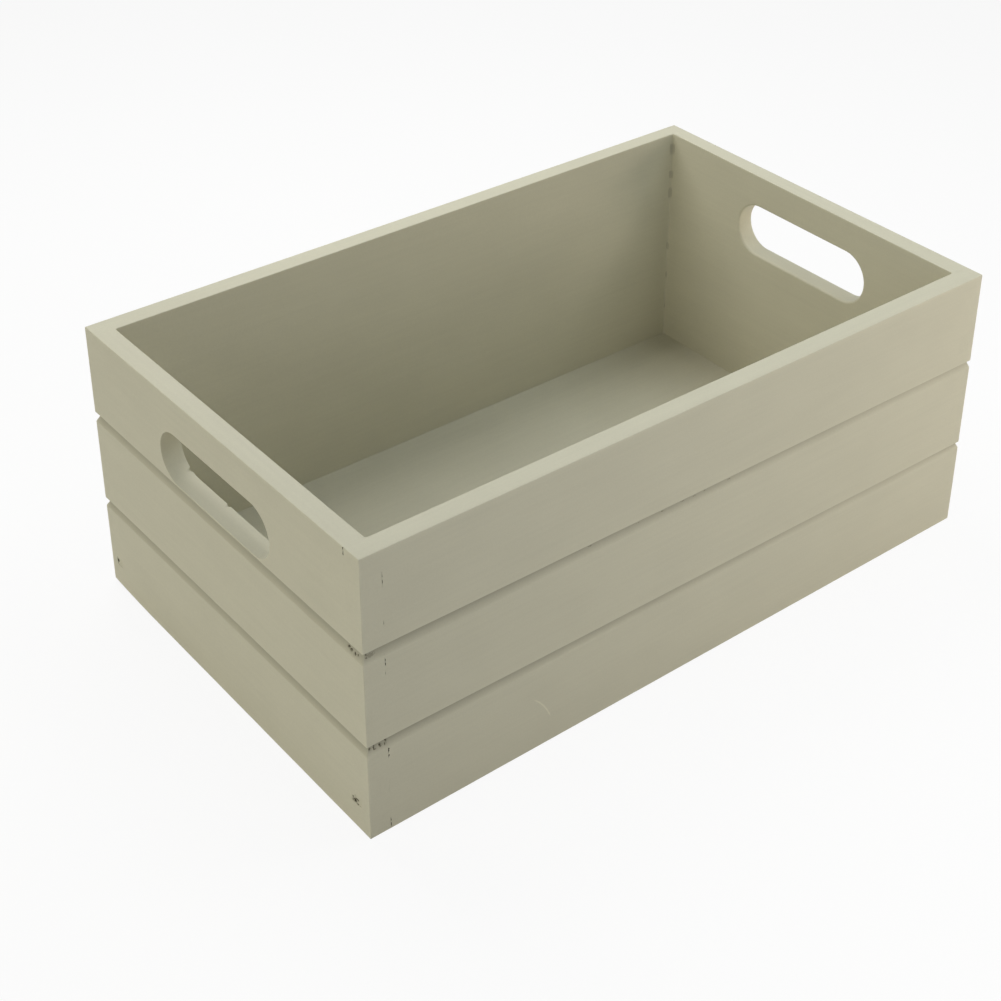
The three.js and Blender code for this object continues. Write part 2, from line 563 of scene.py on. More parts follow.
@dataclass
class Plate:
    """A closed solid between two sheets of points over one lattice.

    Attributes:
        outer: Points of the outer sheet, rows by columns by 3.
        inner: Points of the inner sheet, likewise.
        present: Which cells of the lattice the solid has.
        marks: Named values at the outer and the inner points, such as how bare the wood is.
        strip_steps: Steps from the outer sheet to the inner one.
    """

    outer: Array
    inner: Array
    present: Array
    marks: dict[str, tuple[Array, Array]] = field(default_factory=dict)
    strip_steps: int = 4

    def build(self, name: str) -> bpy.types.Object:
        """Makes the solid's mesh and its object.

        The points between the sheets lie on straight lines. Points in one place are welded, and a
        cell that has shrunk to a triangle, a line or a point is drawn as what is left of it.

        Args:
            name: Name of the object.

        Returns:
            The object, linked to the scene.
        """
        share = np.linspace(0, 1, self.strip_steps + 1)[:, None, None, None]
        points = (self.outer[None] * (1 - share) + self.inner[None] * share).reshape(-1, 3)
        faces = np.concatenate([self._sheets(), *self._strips()])
        marks = {}
        for mark, (outer, inner) in self.marks.items():
            layers = outer[None] * (1 - share[..., 0]) + inner[None] * share[..., 0]
            marks[mark] = layers.reshape(-1)
        used = np.unique(faces)
        faces = np.searchsorted(used, faces)
        points = points[used]
        first, faces = welded(points, faces, WELD)
        marks = {mark: values[used][first] for mark, values in marks.items()}
        return mesh_object(name, points[first], faces, marks)

    def _layer(self, layer: int) -> Array:
        """Numbers of the lattice's points in one layer, 0 being the outer sheet."""
        rows, columns = self.outer.shape[:2]
        return np.arange(rows * columns).reshape(rows, columns) + layer * rows * columns

    def _sheets(self) -> Array:
        """Faces of the two sheets, the inner ones turned round."""
        outer, inner = [sheet_cells(self._layer(end))[self.present] for end in (0, self.strip_steps)]
        return np.concatenate([outer, inner[:, ::-1]])

    def _strips(self) -> list[Array]:
        """Faces that close the solid round the edges of its cells.

        Returns:
            Arrays of point numbers, four for each face.
        """
        rows, columns = self.present.shape
        ringed = np.zeros((rows + 2, columns + 2), bool)
        ringed[1:-1, 1:-1] = self.present
        below, above = ringed[:-1, 1:-1], ringed[1:, 1:-1]
        left, right = ringed[1:-1, :-1], ringed[1:-1, 1:]
        strips = []
        for layer in range(self.strip_steps):
            near, far = self._layer(layer), self._layer(layer + 1)
            level = np.stack([near[:, :-1], near[:, 1:], far[:, 1:], far[:, :-1]], axis=-1)
            upright = np.stack([near[:-1], far[:-1], far[1:], near[1:]], axis=-1)
            strips.append(level[below & ~above])
            strips.append(level[above & ~below][:, ::-1])
            strips.append(upright[left & ~right])
            strips.append(upright[right & ~left][:, ::-1])
        return strips


def sheet_cells(numbers: Array) -> Array:
    """The four point numbers of each cell of a lattice, anticlockwise, along a last axis."""
    return np.stack([numbers[:-1, :-1], numbers[:-1, 1:], numbers[1:, 1:], numbers[1:, :-1]], axis=-1)


def mesh_object(name: str, points: Array, quads: Array, marks: dict[str, Array]) -> bpy.types.Object:
    """Makes a mesh of quads, of which some may have shrunk, and an object that shows it.

    Args:
        name: Name of the mesh and the object.
        points: Places of the points.
        quads: Four point numbers for each face.
        marks: Named values at the points.

    Returns:
        The object, linked to the scene.
    """
    whole = (quads != np.roll(quads, 1, axis=1)).all(axis=1)
    whole &= (quads[:, 0] != quads[:, 2]) & (quads[:, 1] != quads[:, 3])
    shrunk = quads[~whole]
    triangles = np.concatenate([shrunk[:, [0, 1, 2]], shrunk[:, [0, 2, 3]]])
    triangles = triangles[(triangles != np.roll(triangles, 1, axis=1)).all(axis=1)]
    corners = np.concatenate([quads[whole].ravel(), triangles.ravel()])
    sizes = np.concatenate([np.full(whole.sum(), 4), np.full(len(triangles), 3)])
    starts = np.concatenate([[0], np.cumsum(sizes)[:-1]])
    mesh = bpy.data.meshes.new(name)
    mesh.vertices.add(len(points))
    mesh.vertices.foreach_set("co", points.astype(np.float32).ravel())
    mesh.loops.add(len(corners))
    mesh.loops.foreach_set("vertex_index", corners.astype(np.int32))
    mesh.polygons.add(len(sizes))
    mesh.polygons.foreach_set("loop_start", starts.astype(np.int32))
    mesh.update(calc_edges=True)
    for mark, values in marks.items():
        attribute = mesh.attributes.new(mark, "FLOAT", "POINT")
        attribute.data.foreach_set("value", values.astype(np.float32))
    mesh.validate()
    mesh.shade_smooth()
    mesh.set_sharp_from_angle(angle=SHARP_ANGLE)
    made = bpy.data.objects.new(name, mesh)
    bpy.context.scene.collection.objects.link(made)
    return made


@dataclass(frozen=True)
class Spacing:
    """Distances between the lines of the boards' lattice.

    Attributes:
        arris_steps: Rows that draw one arris.
        row: Rows on plain wood.
        column: Columns on plain wood.
        by_corner: Columns within a board's thickness of an inner corner.
        bead: Columns on the bead there.
        bead_start: From the corner to the first of those.
        finger: Columns on a finger.
        marked_face: Columns on the face of a finger with a mark.
        marked_end: Columns on the end of such a finger.
        last: The last two columns on a finger's end.
        clear: From a close line to the nearest plain one.
        least_row: Least distance between rows.
        least_column: Least distance between columns.
        hole_round: Columns at a hand hole's rounds.
        hole_straight: Columns at its straight edges.
        hole_row: Rows at a hand hole.
        past_round: How far past its rounds the closer columns go on.
        by_hole: From the last line round it to the nearest plain column.
        by_nick: From its lines to the nearest one for a nick.
    """

    arris_steps: int = 5
    row: float = 1.8 * MM
    column: float = 4 * MM
    by_corner: float = 0.9 * MM
    bead: float = 0.2 * MM
    bead_start: float = 0.3 * MM
    finger: float = 0.8 * MM
    marked_face: float = 0.3 * MM
    marked_end: float = 0.35 * MM
    last: float = 0.12 * MM
    clear: float = 0.5 * MM
    least_row: float = 0.12 * MM
    least_column: float = 0.1 * MM
    hole_round: float = 0.7 * MM
    hole_straight: float = 3 * MM
    hole_row: float = 0.9 * MM
    past_round: float = 2 * MM
    by_hole: float = 1.2 * MM
    by_nick: float = 0.08 * MM


def clear_of(values: Array, others: Array, gap: float) -> Array:
    """Those values that lie more than a gap from all the others."""
    return values[np.abs(values[:, None] - others[None, :]).min(axis=1) > gap]


@dataclass
class BoxForm:
    """What all boards share: the sizes, the edges, the grooves and the joints.

    Attributes:
        sizes: Main sizes of the box.
        edges: Radii of the sanded edges.
        spacing: How closely the lattice's lines stand.
        grooves: The grooves round the outside.
        fingers: Fingers at each corner.
        sag: How far the rim hangs in the middle of a long board.
        lean: How much thinner the boards are at the rim than lower down, at the corners in turn.
        lean_start: Height from which they get thinner.
        worn_foot: How far the foot is worn away at the far left corner.
        worn_reach: How far from that corner it is worn.
        waviness: Unevenness of the faces.
        wave: Length of its waves.
        seed: Picks the waves.
        painted_shade_power: Power that brings out the bottom in the mark of the grooves' painted shade.
    """

    sizes: BoxSizes
    edges: SandedEdges = SandedEdges()
    spacing: Spacing = Spacing()
    grooves: tuple[Groove, ...] = (
        Groove(
            upper_lip=(36.5 * MM, 34.8 * MM, 35.4 * MM, 36.45 * MM),
            lower_lip=(32.7 * MM, 32.2 * MM, 32.5 * MM, 32.9 * MM),
            depth=(1.9 * MM, 1.0 * MM, 1.3 * MM, 1.6 * MM),
        ),
        Groove(
            upper_lip=(71.5 * MM, 69.95 * MM, 70.6 * MM, 71.7 * MM),
            lower_lip=(67.2 * MM, 66.9 * MM, 67.2 * MM, 67.9 * MM),
            depth=(1.9 * MM, 1.0 * MM, 1.3 * MM, 1.6 * MM),
            seed=13,
        ),
    )
    fingers: int = 14
    sag: float = 0.15 * MM
    lean: tuple[float, float, float, float] = (0.1 * MM, 0.0, 1.3 * MM, 0.1 * MM)
    lean_start: float = 35 * MM
    worn_foot: float = 1.2 * MM
    worn_reach: float = 30 * MM
    waviness: float = 0.04 * MM
    wave: float = 34 * MM
    seed: int = 5
    painted_shade_power: float = 1.3

    @property
    def finger_height(self) -> float:
        """Height of one finger."""
        return self.sizes.height / self.fingers

    def levels(self, kept: Array, free: Array) -> Array:
        """Heights of the lattice's rows, from the foot to the rim.

        Rows stand at each step of the arrises' rounds, closely over the grooves, at the finger ends
        and at the sides of the panel slot, which come twice, once outside and once in the slot.

        Args:
            kept: Further heights that rows have to stand at.
            free: Heights near which rows have to stand.

        Returns:
            The heights, sorted.
        """
        sizes, spacing = self.sizes, self.spacing
        slot = [sizes.slot_floor, sizes.slot_top]
        rounds = quarter_steps(self.edges.arris, spacing.arris_steps)
        joints = np.arange(self.fingers + 1) * self.finger_height
        crisp = [groove.crisp_rows() for groove in self.grooves]
        kept = np.concatenate([rounds, sizes.height - rounds, joints, slot, kept, *crisp])
        busy = np.concatenate([*(groove.flank_rows() for groove in self.grooves), free])
        plain = evenly(self.edges.arris, sizes.height - self.edges.arris, spacing.row)
        plain = clear_of(plain, busy, spacing.clear)
        rows = thinned(np.concatenate([plain, busy]), spacing.least_row, kept)
        return np.sort(np.concatenate([rows, slot]))

    def in_slot(self, levels: Array) -> Array:
        """Which rows lie in the panel slot: from its floor's second row to its top's first."""
        floor = np.flatnonzero(np.isclose(levels, self.sizes.slot_floor))[-1]
        top = np.flatnonzero(np.isclose(levels, self.sizes.slot_top))[0]
        rows = np.arange(len(levels))
        return (rows >= floor) & (rows <= top)

    def arris_inset(self, height: Array) -> Array:
        """How far the sanded edges of rim and foot fall back at a height."""
        radius = self.edges.arris
        return np.maximum(round_over(height, radius), round_over(self.sizes.height - height, radius))

    def outside_inset(self, way: Array, height: Array) -> Array:
        """How far the outside lies behind the plain outline.

        It is the deepest of the arrises and the grooves, and a gentle unevenness on top.

        Args:
            way: Distance round the box.
            height: Height over the foot.

        Returns:
            The inset at each point, at least nought.
        """
        inset = np.maximum(self.arris_inset(height), self.groove_depth(way, height))
        waves = ring_ripple(way, height, self.sizes.corner_distances(), self.wave, self.seed)
        return inset + np.clip(self.waviness * (1 + waves) / 2, 0, None)

    def groove_depth(self, way: Array, height: Array) -> Array:
        """Depth of the grooves at each point, nought or a trace less between them."""
        corners = self.sizes.corner_distances()
        return np.max([groove.inset(way, height, corners) for groove in self.grooves], axis=0)

    def painted_shade_mark(self, way: Array, height: Array) -> Array:
        """Depth of the grooves as a share of the deepest place, raised to bring out the bottom. The paint
        is darkened by it in the grooves: painted shade.
        """
        deepest = max(max(groove.depth) for groove in self.grooves)
        return np.clip(self.groove_depth(way, height) / deepest, 0, 1) ** self.painted_shade_power

    def followed(self, way: Array, height: Array) -> Array:
        """Heights of the lattice's rows once they follow the grooves' lips round the box."""
        corners = self.sizes.corner_distances()
        return height + sum(groove.shift(way, height, corners) for groove in self.grooves)

    def settled(self, points: Array) -> Array:
        """The points after the long boards' upper slats have sagged and a foot has worn.

        The drop is a half wave along X and grows evenly from the upper groove to the rim. The end
        boards, at the wave's ends, don't sag. The foot rises towards the far left corner with the
        square of the nearness, and what is above it up to the panel slot gives way evenly.

        Args:
            points: Points of the box.

        Returns:
            The moved points.
        """
        inner = self.sizes.half_length - self.sizes.wall
        share = np.clip(np.cos(np.pi / 2 * np.clip(points[..., 0] / inner, -1, 1)), 0, 1)
        start = self.grooves[-1].lower_lip[0]
        rise = np.clip((points[..., 2] - start) / (self.sizes.height - start), 0, 1)
        away_x, away_y = points[..., 0] + self.sizes.half_length, self.sizes.half_width - points[..., 1]
        near = np.clip(1 - np.hypot(away_x, away_y) / self.worn_reach, 0, 1) ** 2
        low = np.clip(1 - points[..., 2] / self.sizes.slot_floor, 0, 1)
        moved = points.copy()
        moved[..., 2] += self.worn_foot * near * low - self.sag * share * rise
        return moved


@dataclass
class Stations:
    """Columns of a board's lattice, along the outline from one joint line round to the other.

    Attributes:
        along: Place along the board's face, or past its end where the outline has turned the corner.
        behind: Depth behind the face, where the outline has turned the corner.
        angle: Direction in which the outline faces: 0 sideways and a quarter turn outwards.
        hand: -1 on the left half and 1 on the right half.
        way: Distance along the outline from the board's left corner.
        fingers: How many columns a finger has at the left and at the right end, counted from the end
            of the lattice.
    """

    along: Array
    behind: Array
    angle: Array
    hand: Array
    way: Array
    fingers: tuple[int, int]

    @classmethod
    def around(
        cls,
        half_span: float,
        wall: float,
        radius: float,
        halves: tuple[tuple[Array, Array], ...],
    ) -> "Stations":
        """Lays out the columns of a board.

        Args:
            half_span: Half of the board's length outside.
            wall: Thickness of the boards.
            radius: Radius of the upright corners.
            halves: For the left and the right half, the depths of the columns on the end, falling
                from the wall's thickness, and minus the distances of those on the face from the
                board's middle, rising to nought.

        Returns:
            The columns of both halves.
        """
        corner_steps = 7
        turns = np.linspace(0, np.pi / 2, corner_steps)[1:-1]
        far = np.full(len(turns), -2 * half_span)
        corner_way = radius * (turns / (np.pi / 4) - 1)
        rows, fingers = [], []
        for returns, face in halves:
            along = np.concatenate([np.full(len(returns), -2 * half_span), far, face])
            behind = np.concatenate([returns, np.full(len(turns) + len(face), -1.0)])
            angle = np.concatenate([np.zeros(len(returns)), turns, np.full(len(face), np.pi / 2)])
            way = np.concatenate([-returns, corner_way, face + half_span])
            rows.append(np.stack([along, behind, angle, np.full(len(along), -1), way]))
            joint = int(np.flatnonzero(np.isclose(face, wall - half_span))[0])
            fingers.append(len(returns) + len(turns) + joint)
        mirror = np.array([-1, 1, 1, -1, -1])[:, None]
        right = rows[1][:, ::-1] * mirror + np.array([0, 0, 0, 0, 2 * half_span])[:, None]
        columns = np.concatenate([rows[0][:, :-1], right], axis=1)
        return cls(*columns, fingers=tuple(fingers))


@dataclass
class Board:
    """One wall of the box, drawn as the front wall and then turned to its side.

    Attributes:
        name: Name of the finished piece.
        node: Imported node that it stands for.
        form: What all boards share.
        side: Side of the box that it stands on.
        owner: Which fingers it owns.
        chips: Torn-out places outside.
        inner_chips: Torn-out places inside.
        open_joints: Stretches of its joint lines that show.
        strip_steps: Steps across its thickness.
    """

    name: str
    node: str
    form: BoxForm
    side: Side
    owner: Owner
    chips: tuple[Chip, ...] = ()
    inner_chips: tuple[Chip, ...] = ()
    open_joints: tuple[OpenJoint, ...] = ()
    strip_steps: int = 4

    @property
    def half_span(self) -> float:
        """Half of the board's length outside."""
        sizes = self.form.sizes
        return sizes.half_length if self.side in (Side.FRONT, Side.BACK) else sizes.half_width

    @property
    def distance(self) -> float:
        """Distance of the board's outer face from the middle of the box."""
        return self.form.sizes.half_length + self.form.sizes.half_width - self.half_span

    @property
    def _start(self) -> float:
        """The way round the box at the board's left corner."""
        return self.form.sizes.corner_distances()[self.side.value]

    def _marked_end(self, hand: int) -> bool:
        """Whether a chip lies on the finger joints at the left (-1) or right (1) end."""
        joint = self.half_span - self.form.sizes.wall
        return any(hand * chip.along > joint for chip in self.chips)

    def face_stations(self, hand: int) -> Array:
        """Columns on one half of the face: close near the corner and at the marks, then wide.

        Args:
            hand: -1 for the left half and 1 for the right one.

        Returns:
            Minus the columns' distances from the middle, rising to nought.
        """
        wall, edges, spacing = self.form.sizes.wall, self.form.edges, self.form.spacing
        start, joint = edges.corner - self.half_span, wall - self.half_span
        bead, past = joint + edges.inner_corner, joint + wall
        marks = [chip.columns() * hand for chip in self.chips + self.inner_chips]
        marks = -np.concatenate([np.zeros(0), *marks])
        beads = evenly(joint + spacing.bead_start, bead, spacing.bead)
        busy = np.concatenate([beads, marks[marks > joint]])
        plain = np.concatenate([evenly(bead, past, spacing.by_corner), evenly(past, 0.0, spacing.column)])
        plain = clear_of(plain, busy, spacing.clear)
        finger = evenly(start, joint, spacing.marked_face if self._marked_end(hand) else spacing.finger)
        kept = np.array([start, joint, 0.0])
        columns = thinned(np.concatenate([plain, busy, finger]), spacing.least_column, kept)
        return columns[(columns >= start) & (columns <= 0)]

    def end_stations(self, hand: int) -> Array:
        """Depths of the columns on the end, falling from the wall's thickness, for one end."""
        wall, spacing = self.form.sizes.wall, self.form.spacing
        opening = wall - self.form.sizes.slot_depth
        step = spacing.marked_end if self._marked_end(hand) else spacing.finger
        outer = evenly(self.form.edges.corner, opening, step)
        inner = evenly(opening, wall - spacing.bead_start, step)
        return np.concatenate([outer, inner[1:], [wall - spacing.last, wall]])[::-1]

    def kept_levels(self) -> Array:
        """Further heights that rows have to stand at."""
        return np.zeros(0)

    def extra_levels(self) -> Array:
        """Further heights near which rows have to stand, for the marks."""
        marks = [*self.chips, *self.inner_chips, *self.open_joints]
        return np.concatenate([np.zeros(0), *(mark.rows() for mark in marks)])

    def warped(self, along: Array, level: Array, height: Array) -> tuple[Array, Array]:
        """Places of the lattice's points on the face, which a board may bend round its hand hole."""
        return along, height

    def hole_cells(self, stations: Stations, levels: Array) -> Array:
        """Which cells of the lattice the hand hole takes away. A plain board has none."""
        return np.zeros((len(levels) - 1, len(stations.along) - 1), bool)

    def hole_distance(self, along: Array, height: Array) -> Array:
        """Distance of points from the hand hole's edge. A plain board has none, so it is far away."""
        return np.full(np.broadcast(along, height).shape, self.half_span)

    def hole_easing(self, inside: bool) -> float:
        """Radius of the hand hole's edges, inside or outside. A plain board has none."""
        return 0.0

    def build(self) -> bpy.types.Object:
        """Builds the board and turns it to its side.

        Returns:
            The finished piece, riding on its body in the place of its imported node.
        """
        levels = self.form.levels(self.kept_levels(), self.extra_levels())
        halves = tuple((self.end_stations(hand), self.face_stations(hand)) for hand in (-1, 1))
        stations = Stations.around(self.half_span, self.form.sizes.wall, self.form.edges.corner, halves)
        along, level = np.broadcast_arrays(stations.along[None], levels[:, None])
        followed = self.form.followed(self._start + self._way(stations, along), level)
        along, height = self.warped(along, level, followed)
        outer, outer_marks = self._outside(stations, along, height)
        inner, inner_marks = self._inside(stations, outer, along, height, levels)
        marks = {mark: (outer_marks[mark], inner_marks[mark]) for mark in outer_marks}
        present = self._present(stations, levels)
        plate = Plate(self._turned(outer), self._turned(inner), present, marks, self.strip_steps)
        piece = plate.build(self.name)
        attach(piece, BODY)
        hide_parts(self.node)
        return piece

    def _turned(self, points: Array) -> Array:
        """The points, sagged with the rim and turned to the board's side by quarter turns."""
        turn = np.linalg.matrix_power(np.array([[0, -1, 0], [1, 0, 0], [0, 0, 1]]), self.side.value)
        return self.form.settled(points @ turn.T.astype(float))

    def _outside(self, stations: Stations, along: Array, height: Array) -> tuple[Array, dict[str, Array]]:
        """Points and marks of the outer sheet.

        The outline is a rectangle with round corners, set back by the inset. A point is the centre of
        its corner's arc, or the nearest point to its station on the line between two such centres,
        plus the arc's radius in the direction in which the outline faces there.

        Args:
            stations: The columns.
            along: Places of the points along the face.
            height: Heights of the points.

        Returns:
            The points, and the marks by name.
        """
        edges, unrolled = self.form.edges, self._unrolled(stations, along)
        way = self._start + self._way(stations, along)
        inset = self.form.outside_inset(way, height)
        hole = round_over(self.hole_distance(along, height), self.hole_easing(inside=False))
        inset = np.maximum(inset, hole)
        bare = self._torn(self.chips, "bareness", unrolled, height)
        inset = inset + self._torn(self.chips, "depth", unrolled, height)
        radius = np.maximum(edges.corner - inset, edges.least_corner)
        reach_along = self.half_span - inset - radius
        reach_out = self.distance - inset - radius
        centre_along = np.clip(along, -reach_along, reach_along)
        behind = np.where(stations.behind < 0, 0, stations.behind)[None]
        centre_out = np.minimum(self.distance - behind, reach_out)
        out = centre_out + radius * np.sin(stations.angle)[None]
        sideways = centre_along + stations.hand[None] * radius * np.cos(stations.angle)[None]
        for joint in self.open_joints:
            inward = self.half_span - self.form.sizes.wall - joint.hand * along
            opening = joint.opening(height) * (inward > -WELD)
            sideways -= joint.hand * joint.width * opening * np.clip(1 - inward / joint.give, 0, 1)
            bared = opening * min(joint.width / joint.bare_width, 1.0)
            bare = np.maximum(bare, bared * np.clip(1 - inward / joint.bare_reach, 0, 1))
        points = np.stack([sideways, -out, height], axis=-1)
        # The groove mark makes the paint darker towards each groove's bottom: painted shade.
        groove = self.form.painted_shade_mark(way, height)
        return points, {"bare": bare, "edge": self._edge_mark(stations, along, height), "groove": groove}

    def _inside(
        self, stations: Stations, outer: Array, along: Array, height: Array, levels: Array
    ) -> tuple[Array, dict[str, Array]]:
        """Points and marks of the inner sheet.

        Between the joints a point lies straight behind its outer one. Behind a finger the points run
        evenly along a straight line, from the finger's end to the mitre in the inner corner, where the
        two boards' beads meet. Its last columns lie in one place there, so they share the joint
        column's marks and heights.

        Args:
            stations: The columns.
            outer: Points of the outer sheet.
            along: Places of the points along the face.
            height: Heights of the points.
            levels: Heights of the rows.

        Returns:
            The points, and the marks by name.
        """
        sizes, edges = self.form.sizes, self.form.edges
        in_slot = self.form.in_slot(levels)
        arris, lean = self.form.arris_inset(height), self._lean(along, height)
        hole = round_over(self.hole_distance(along, height), self.hole_easing(inside=True))
        unrolled = self._unrolled(stations, along)
        mitres = np.where(in_slot[:, None], 0, edges.mitre(arris[:, [0, -1]]) - lean[:, [0, -1]])
        mitre = np.where(along < 0, mitres[:, :1], mitres[:, 1:])
        half_inside = self.half_span - sizes.wall
        distance = np.maximum(half_inside - np.abs(along), mitre)
        distance = np.where(np.abs(along) > half_inside - WELD, mitre, distance)
        thickness = sizes.wall + edges.bead(distance + lean, np.maximum(arris, hole)) - lean
        thickness = thickness - self._torn(self.inner_chips, "depth", unrolled, height)
        thickness = np.where(in_slot[:, None], sizes.wall - sizes.slot_depth, thickness)
        inner_out = self.distance - thickness
        beside = np.sign(along) * (half_inside - distance)
        sideways = np.where(np.abs(along) < half_inside / 2, along, beside)
        bare = self._torn(self.inner_chips, "bareness", unrolled, height)
        inner_height = height.copy()
        for hand, finger, ends in zip((-1, 1), stations.fingers, mitres.T):
            last = finger - 2
            number = np.arange(finger + 1)[None]
            columns = number[0] if hand < 0 else len(stations.along) - 1 - number[0]
            start = outer[:, columns[0], 0]
            opened = np.argmin(np.abs(stations.behind[columns] - (sizes.wall - sizes.slot_depth)))
            first = np.where(in_slot, opened, 0)[:, None]
            share = np.clip((number - first) / (last - first), 0, 1)
            end = hand * (half_inside - ends)
            sideways[:, columns] = start[:, None] * (1 - share) + end[:, None] * share
            deep = thickness[:, columns[-1]][:, None]
            level_depth = np.where(in_slot[:, None], deep, sizes.wall * (1 - share) + deep * share)
            inner_out[:, columns] = self.distance - level_depth
            bare[:, columns[last:]] = bare[:, columns[-1:]]
            inner_height[:, columns[last:]] = height[:, columns[-1:]]
        points = np.stack([sideways, -inner_out, inner_height], axis=-1)
        bare = np.where(in_slot[:, None], 1.0, bare)
        edge = self._edge_mark(stations, along, height)
        return points, {"bare": bare, "edge": edge, "groove": np.zeros(edge.shape)}

    def _lean(self, along: Array, height: Array) -> Array:
        """How much thinner the board is, which grows evenly up to the rim and from corner to corner.

        Args:
            along: Places along the face.
            height: Heights over the foot.

        Returns:
            The difference at each point.
        """
        form, number = self.form, self.side.value
        left, right = form.lean[number], form.lean[(number + 1) % len(form.lean)]
        half_inside = self.half_span - form.sizes.wall
        share = np.clip((along / half_inside + 1) / 2, 0, 1)
        rise = np.clip((height - form.lean_start) / (form.sizes.height - form.lean_start), 0, 1)
        return (left * (1 - share) + right * share) * rise

    def _present(self, stations: Stations, levels: Array) -> Array:
        """Which cells of the lattice are wood.

        Args:
            stations: The columns.
            levels: Heights of the rows.

        Returns:
            True for each cell that the board has.
        """
        sizes = self.form.sizes
        middles = (levels[:-1] + levels[1:]) / 2
        finger = (middles / self.form.finger_height).astype(int)
        owned = finger % 2 == self.owner.value
        columns = np.arange(len(stations.along) - 1)
        last = len(stations.along) - 1 - stations.fingers[1]
        body = (columns >= stations.fingers[0]) & (columns < last)
        present = owned[:, None] | body[None]
        in_slot = self.form.in_slot(levels)
        slot_cell = in_slot[:-1] | in_slot[1:]
        opening = sizes.wall - sizes.slot_depth
        behind = np.maximum(stations.behind[:-1], stations.behind[1:])
        opened = (behind > opening + WELD) & (stations.behind[:-1] > 0) & (stations.behind[1:] > 0)
        return present & ~(slot_cell[:, None] & opened[None]) & ~self.hole_cells(stations, levels)

    def _unrolled(self, stations: Stations, along: Array) -> Array:
        """Places along the board, carried on round its corners as if the outline were unrolled."""
        return self._way(stations, along) - self.half_span

    def _way(self, stations: Stations, along: Array) -> Array:
        """Distance along the outline from the board's left corner, after any bending."""
        on_face = np.isclose(stations.angle, np.pi / 2)[None]
        return np.where(on_face, along + self.half_span, stations.way[None] + np.zeros_like(along))

    @staticmethod
    def _torn(chips: tuple[Chip, ...], trait: str, along: Array, height: Array) -> Array:
        """Depth or bareness of the torn-out places, as the trait says, the greatest at each point."""
        felt = [getattr(chip, trait) * chip.strength(along, height) for chip in chips]
        return np.max([np.zeros(along.shape), *felt], axis=0)

    def _edge_mark(self, stations: Stations, along: Array, height: Array) -> Array:
        """How near each point is to a sanded edge, 1 at it and 0 a millimetre away. The paint is paler by
        it, partly from wear and partly as a painted highlight.
        """
        fade = 1 * MM
        rim = np.minimum(height, self.form.sizes.height - height)
        way = self._way(stations, along)
        corner = np.minimum(np.abs(way), np.abs(2 * self.half_span - way))
        hole = np.abs(self.hole_distance(along, height))
        nearest = np.minimum(np.minimum(rim, corner), hole)
        return np.clip(1 - nearest / fade, 0, 1) ** 2


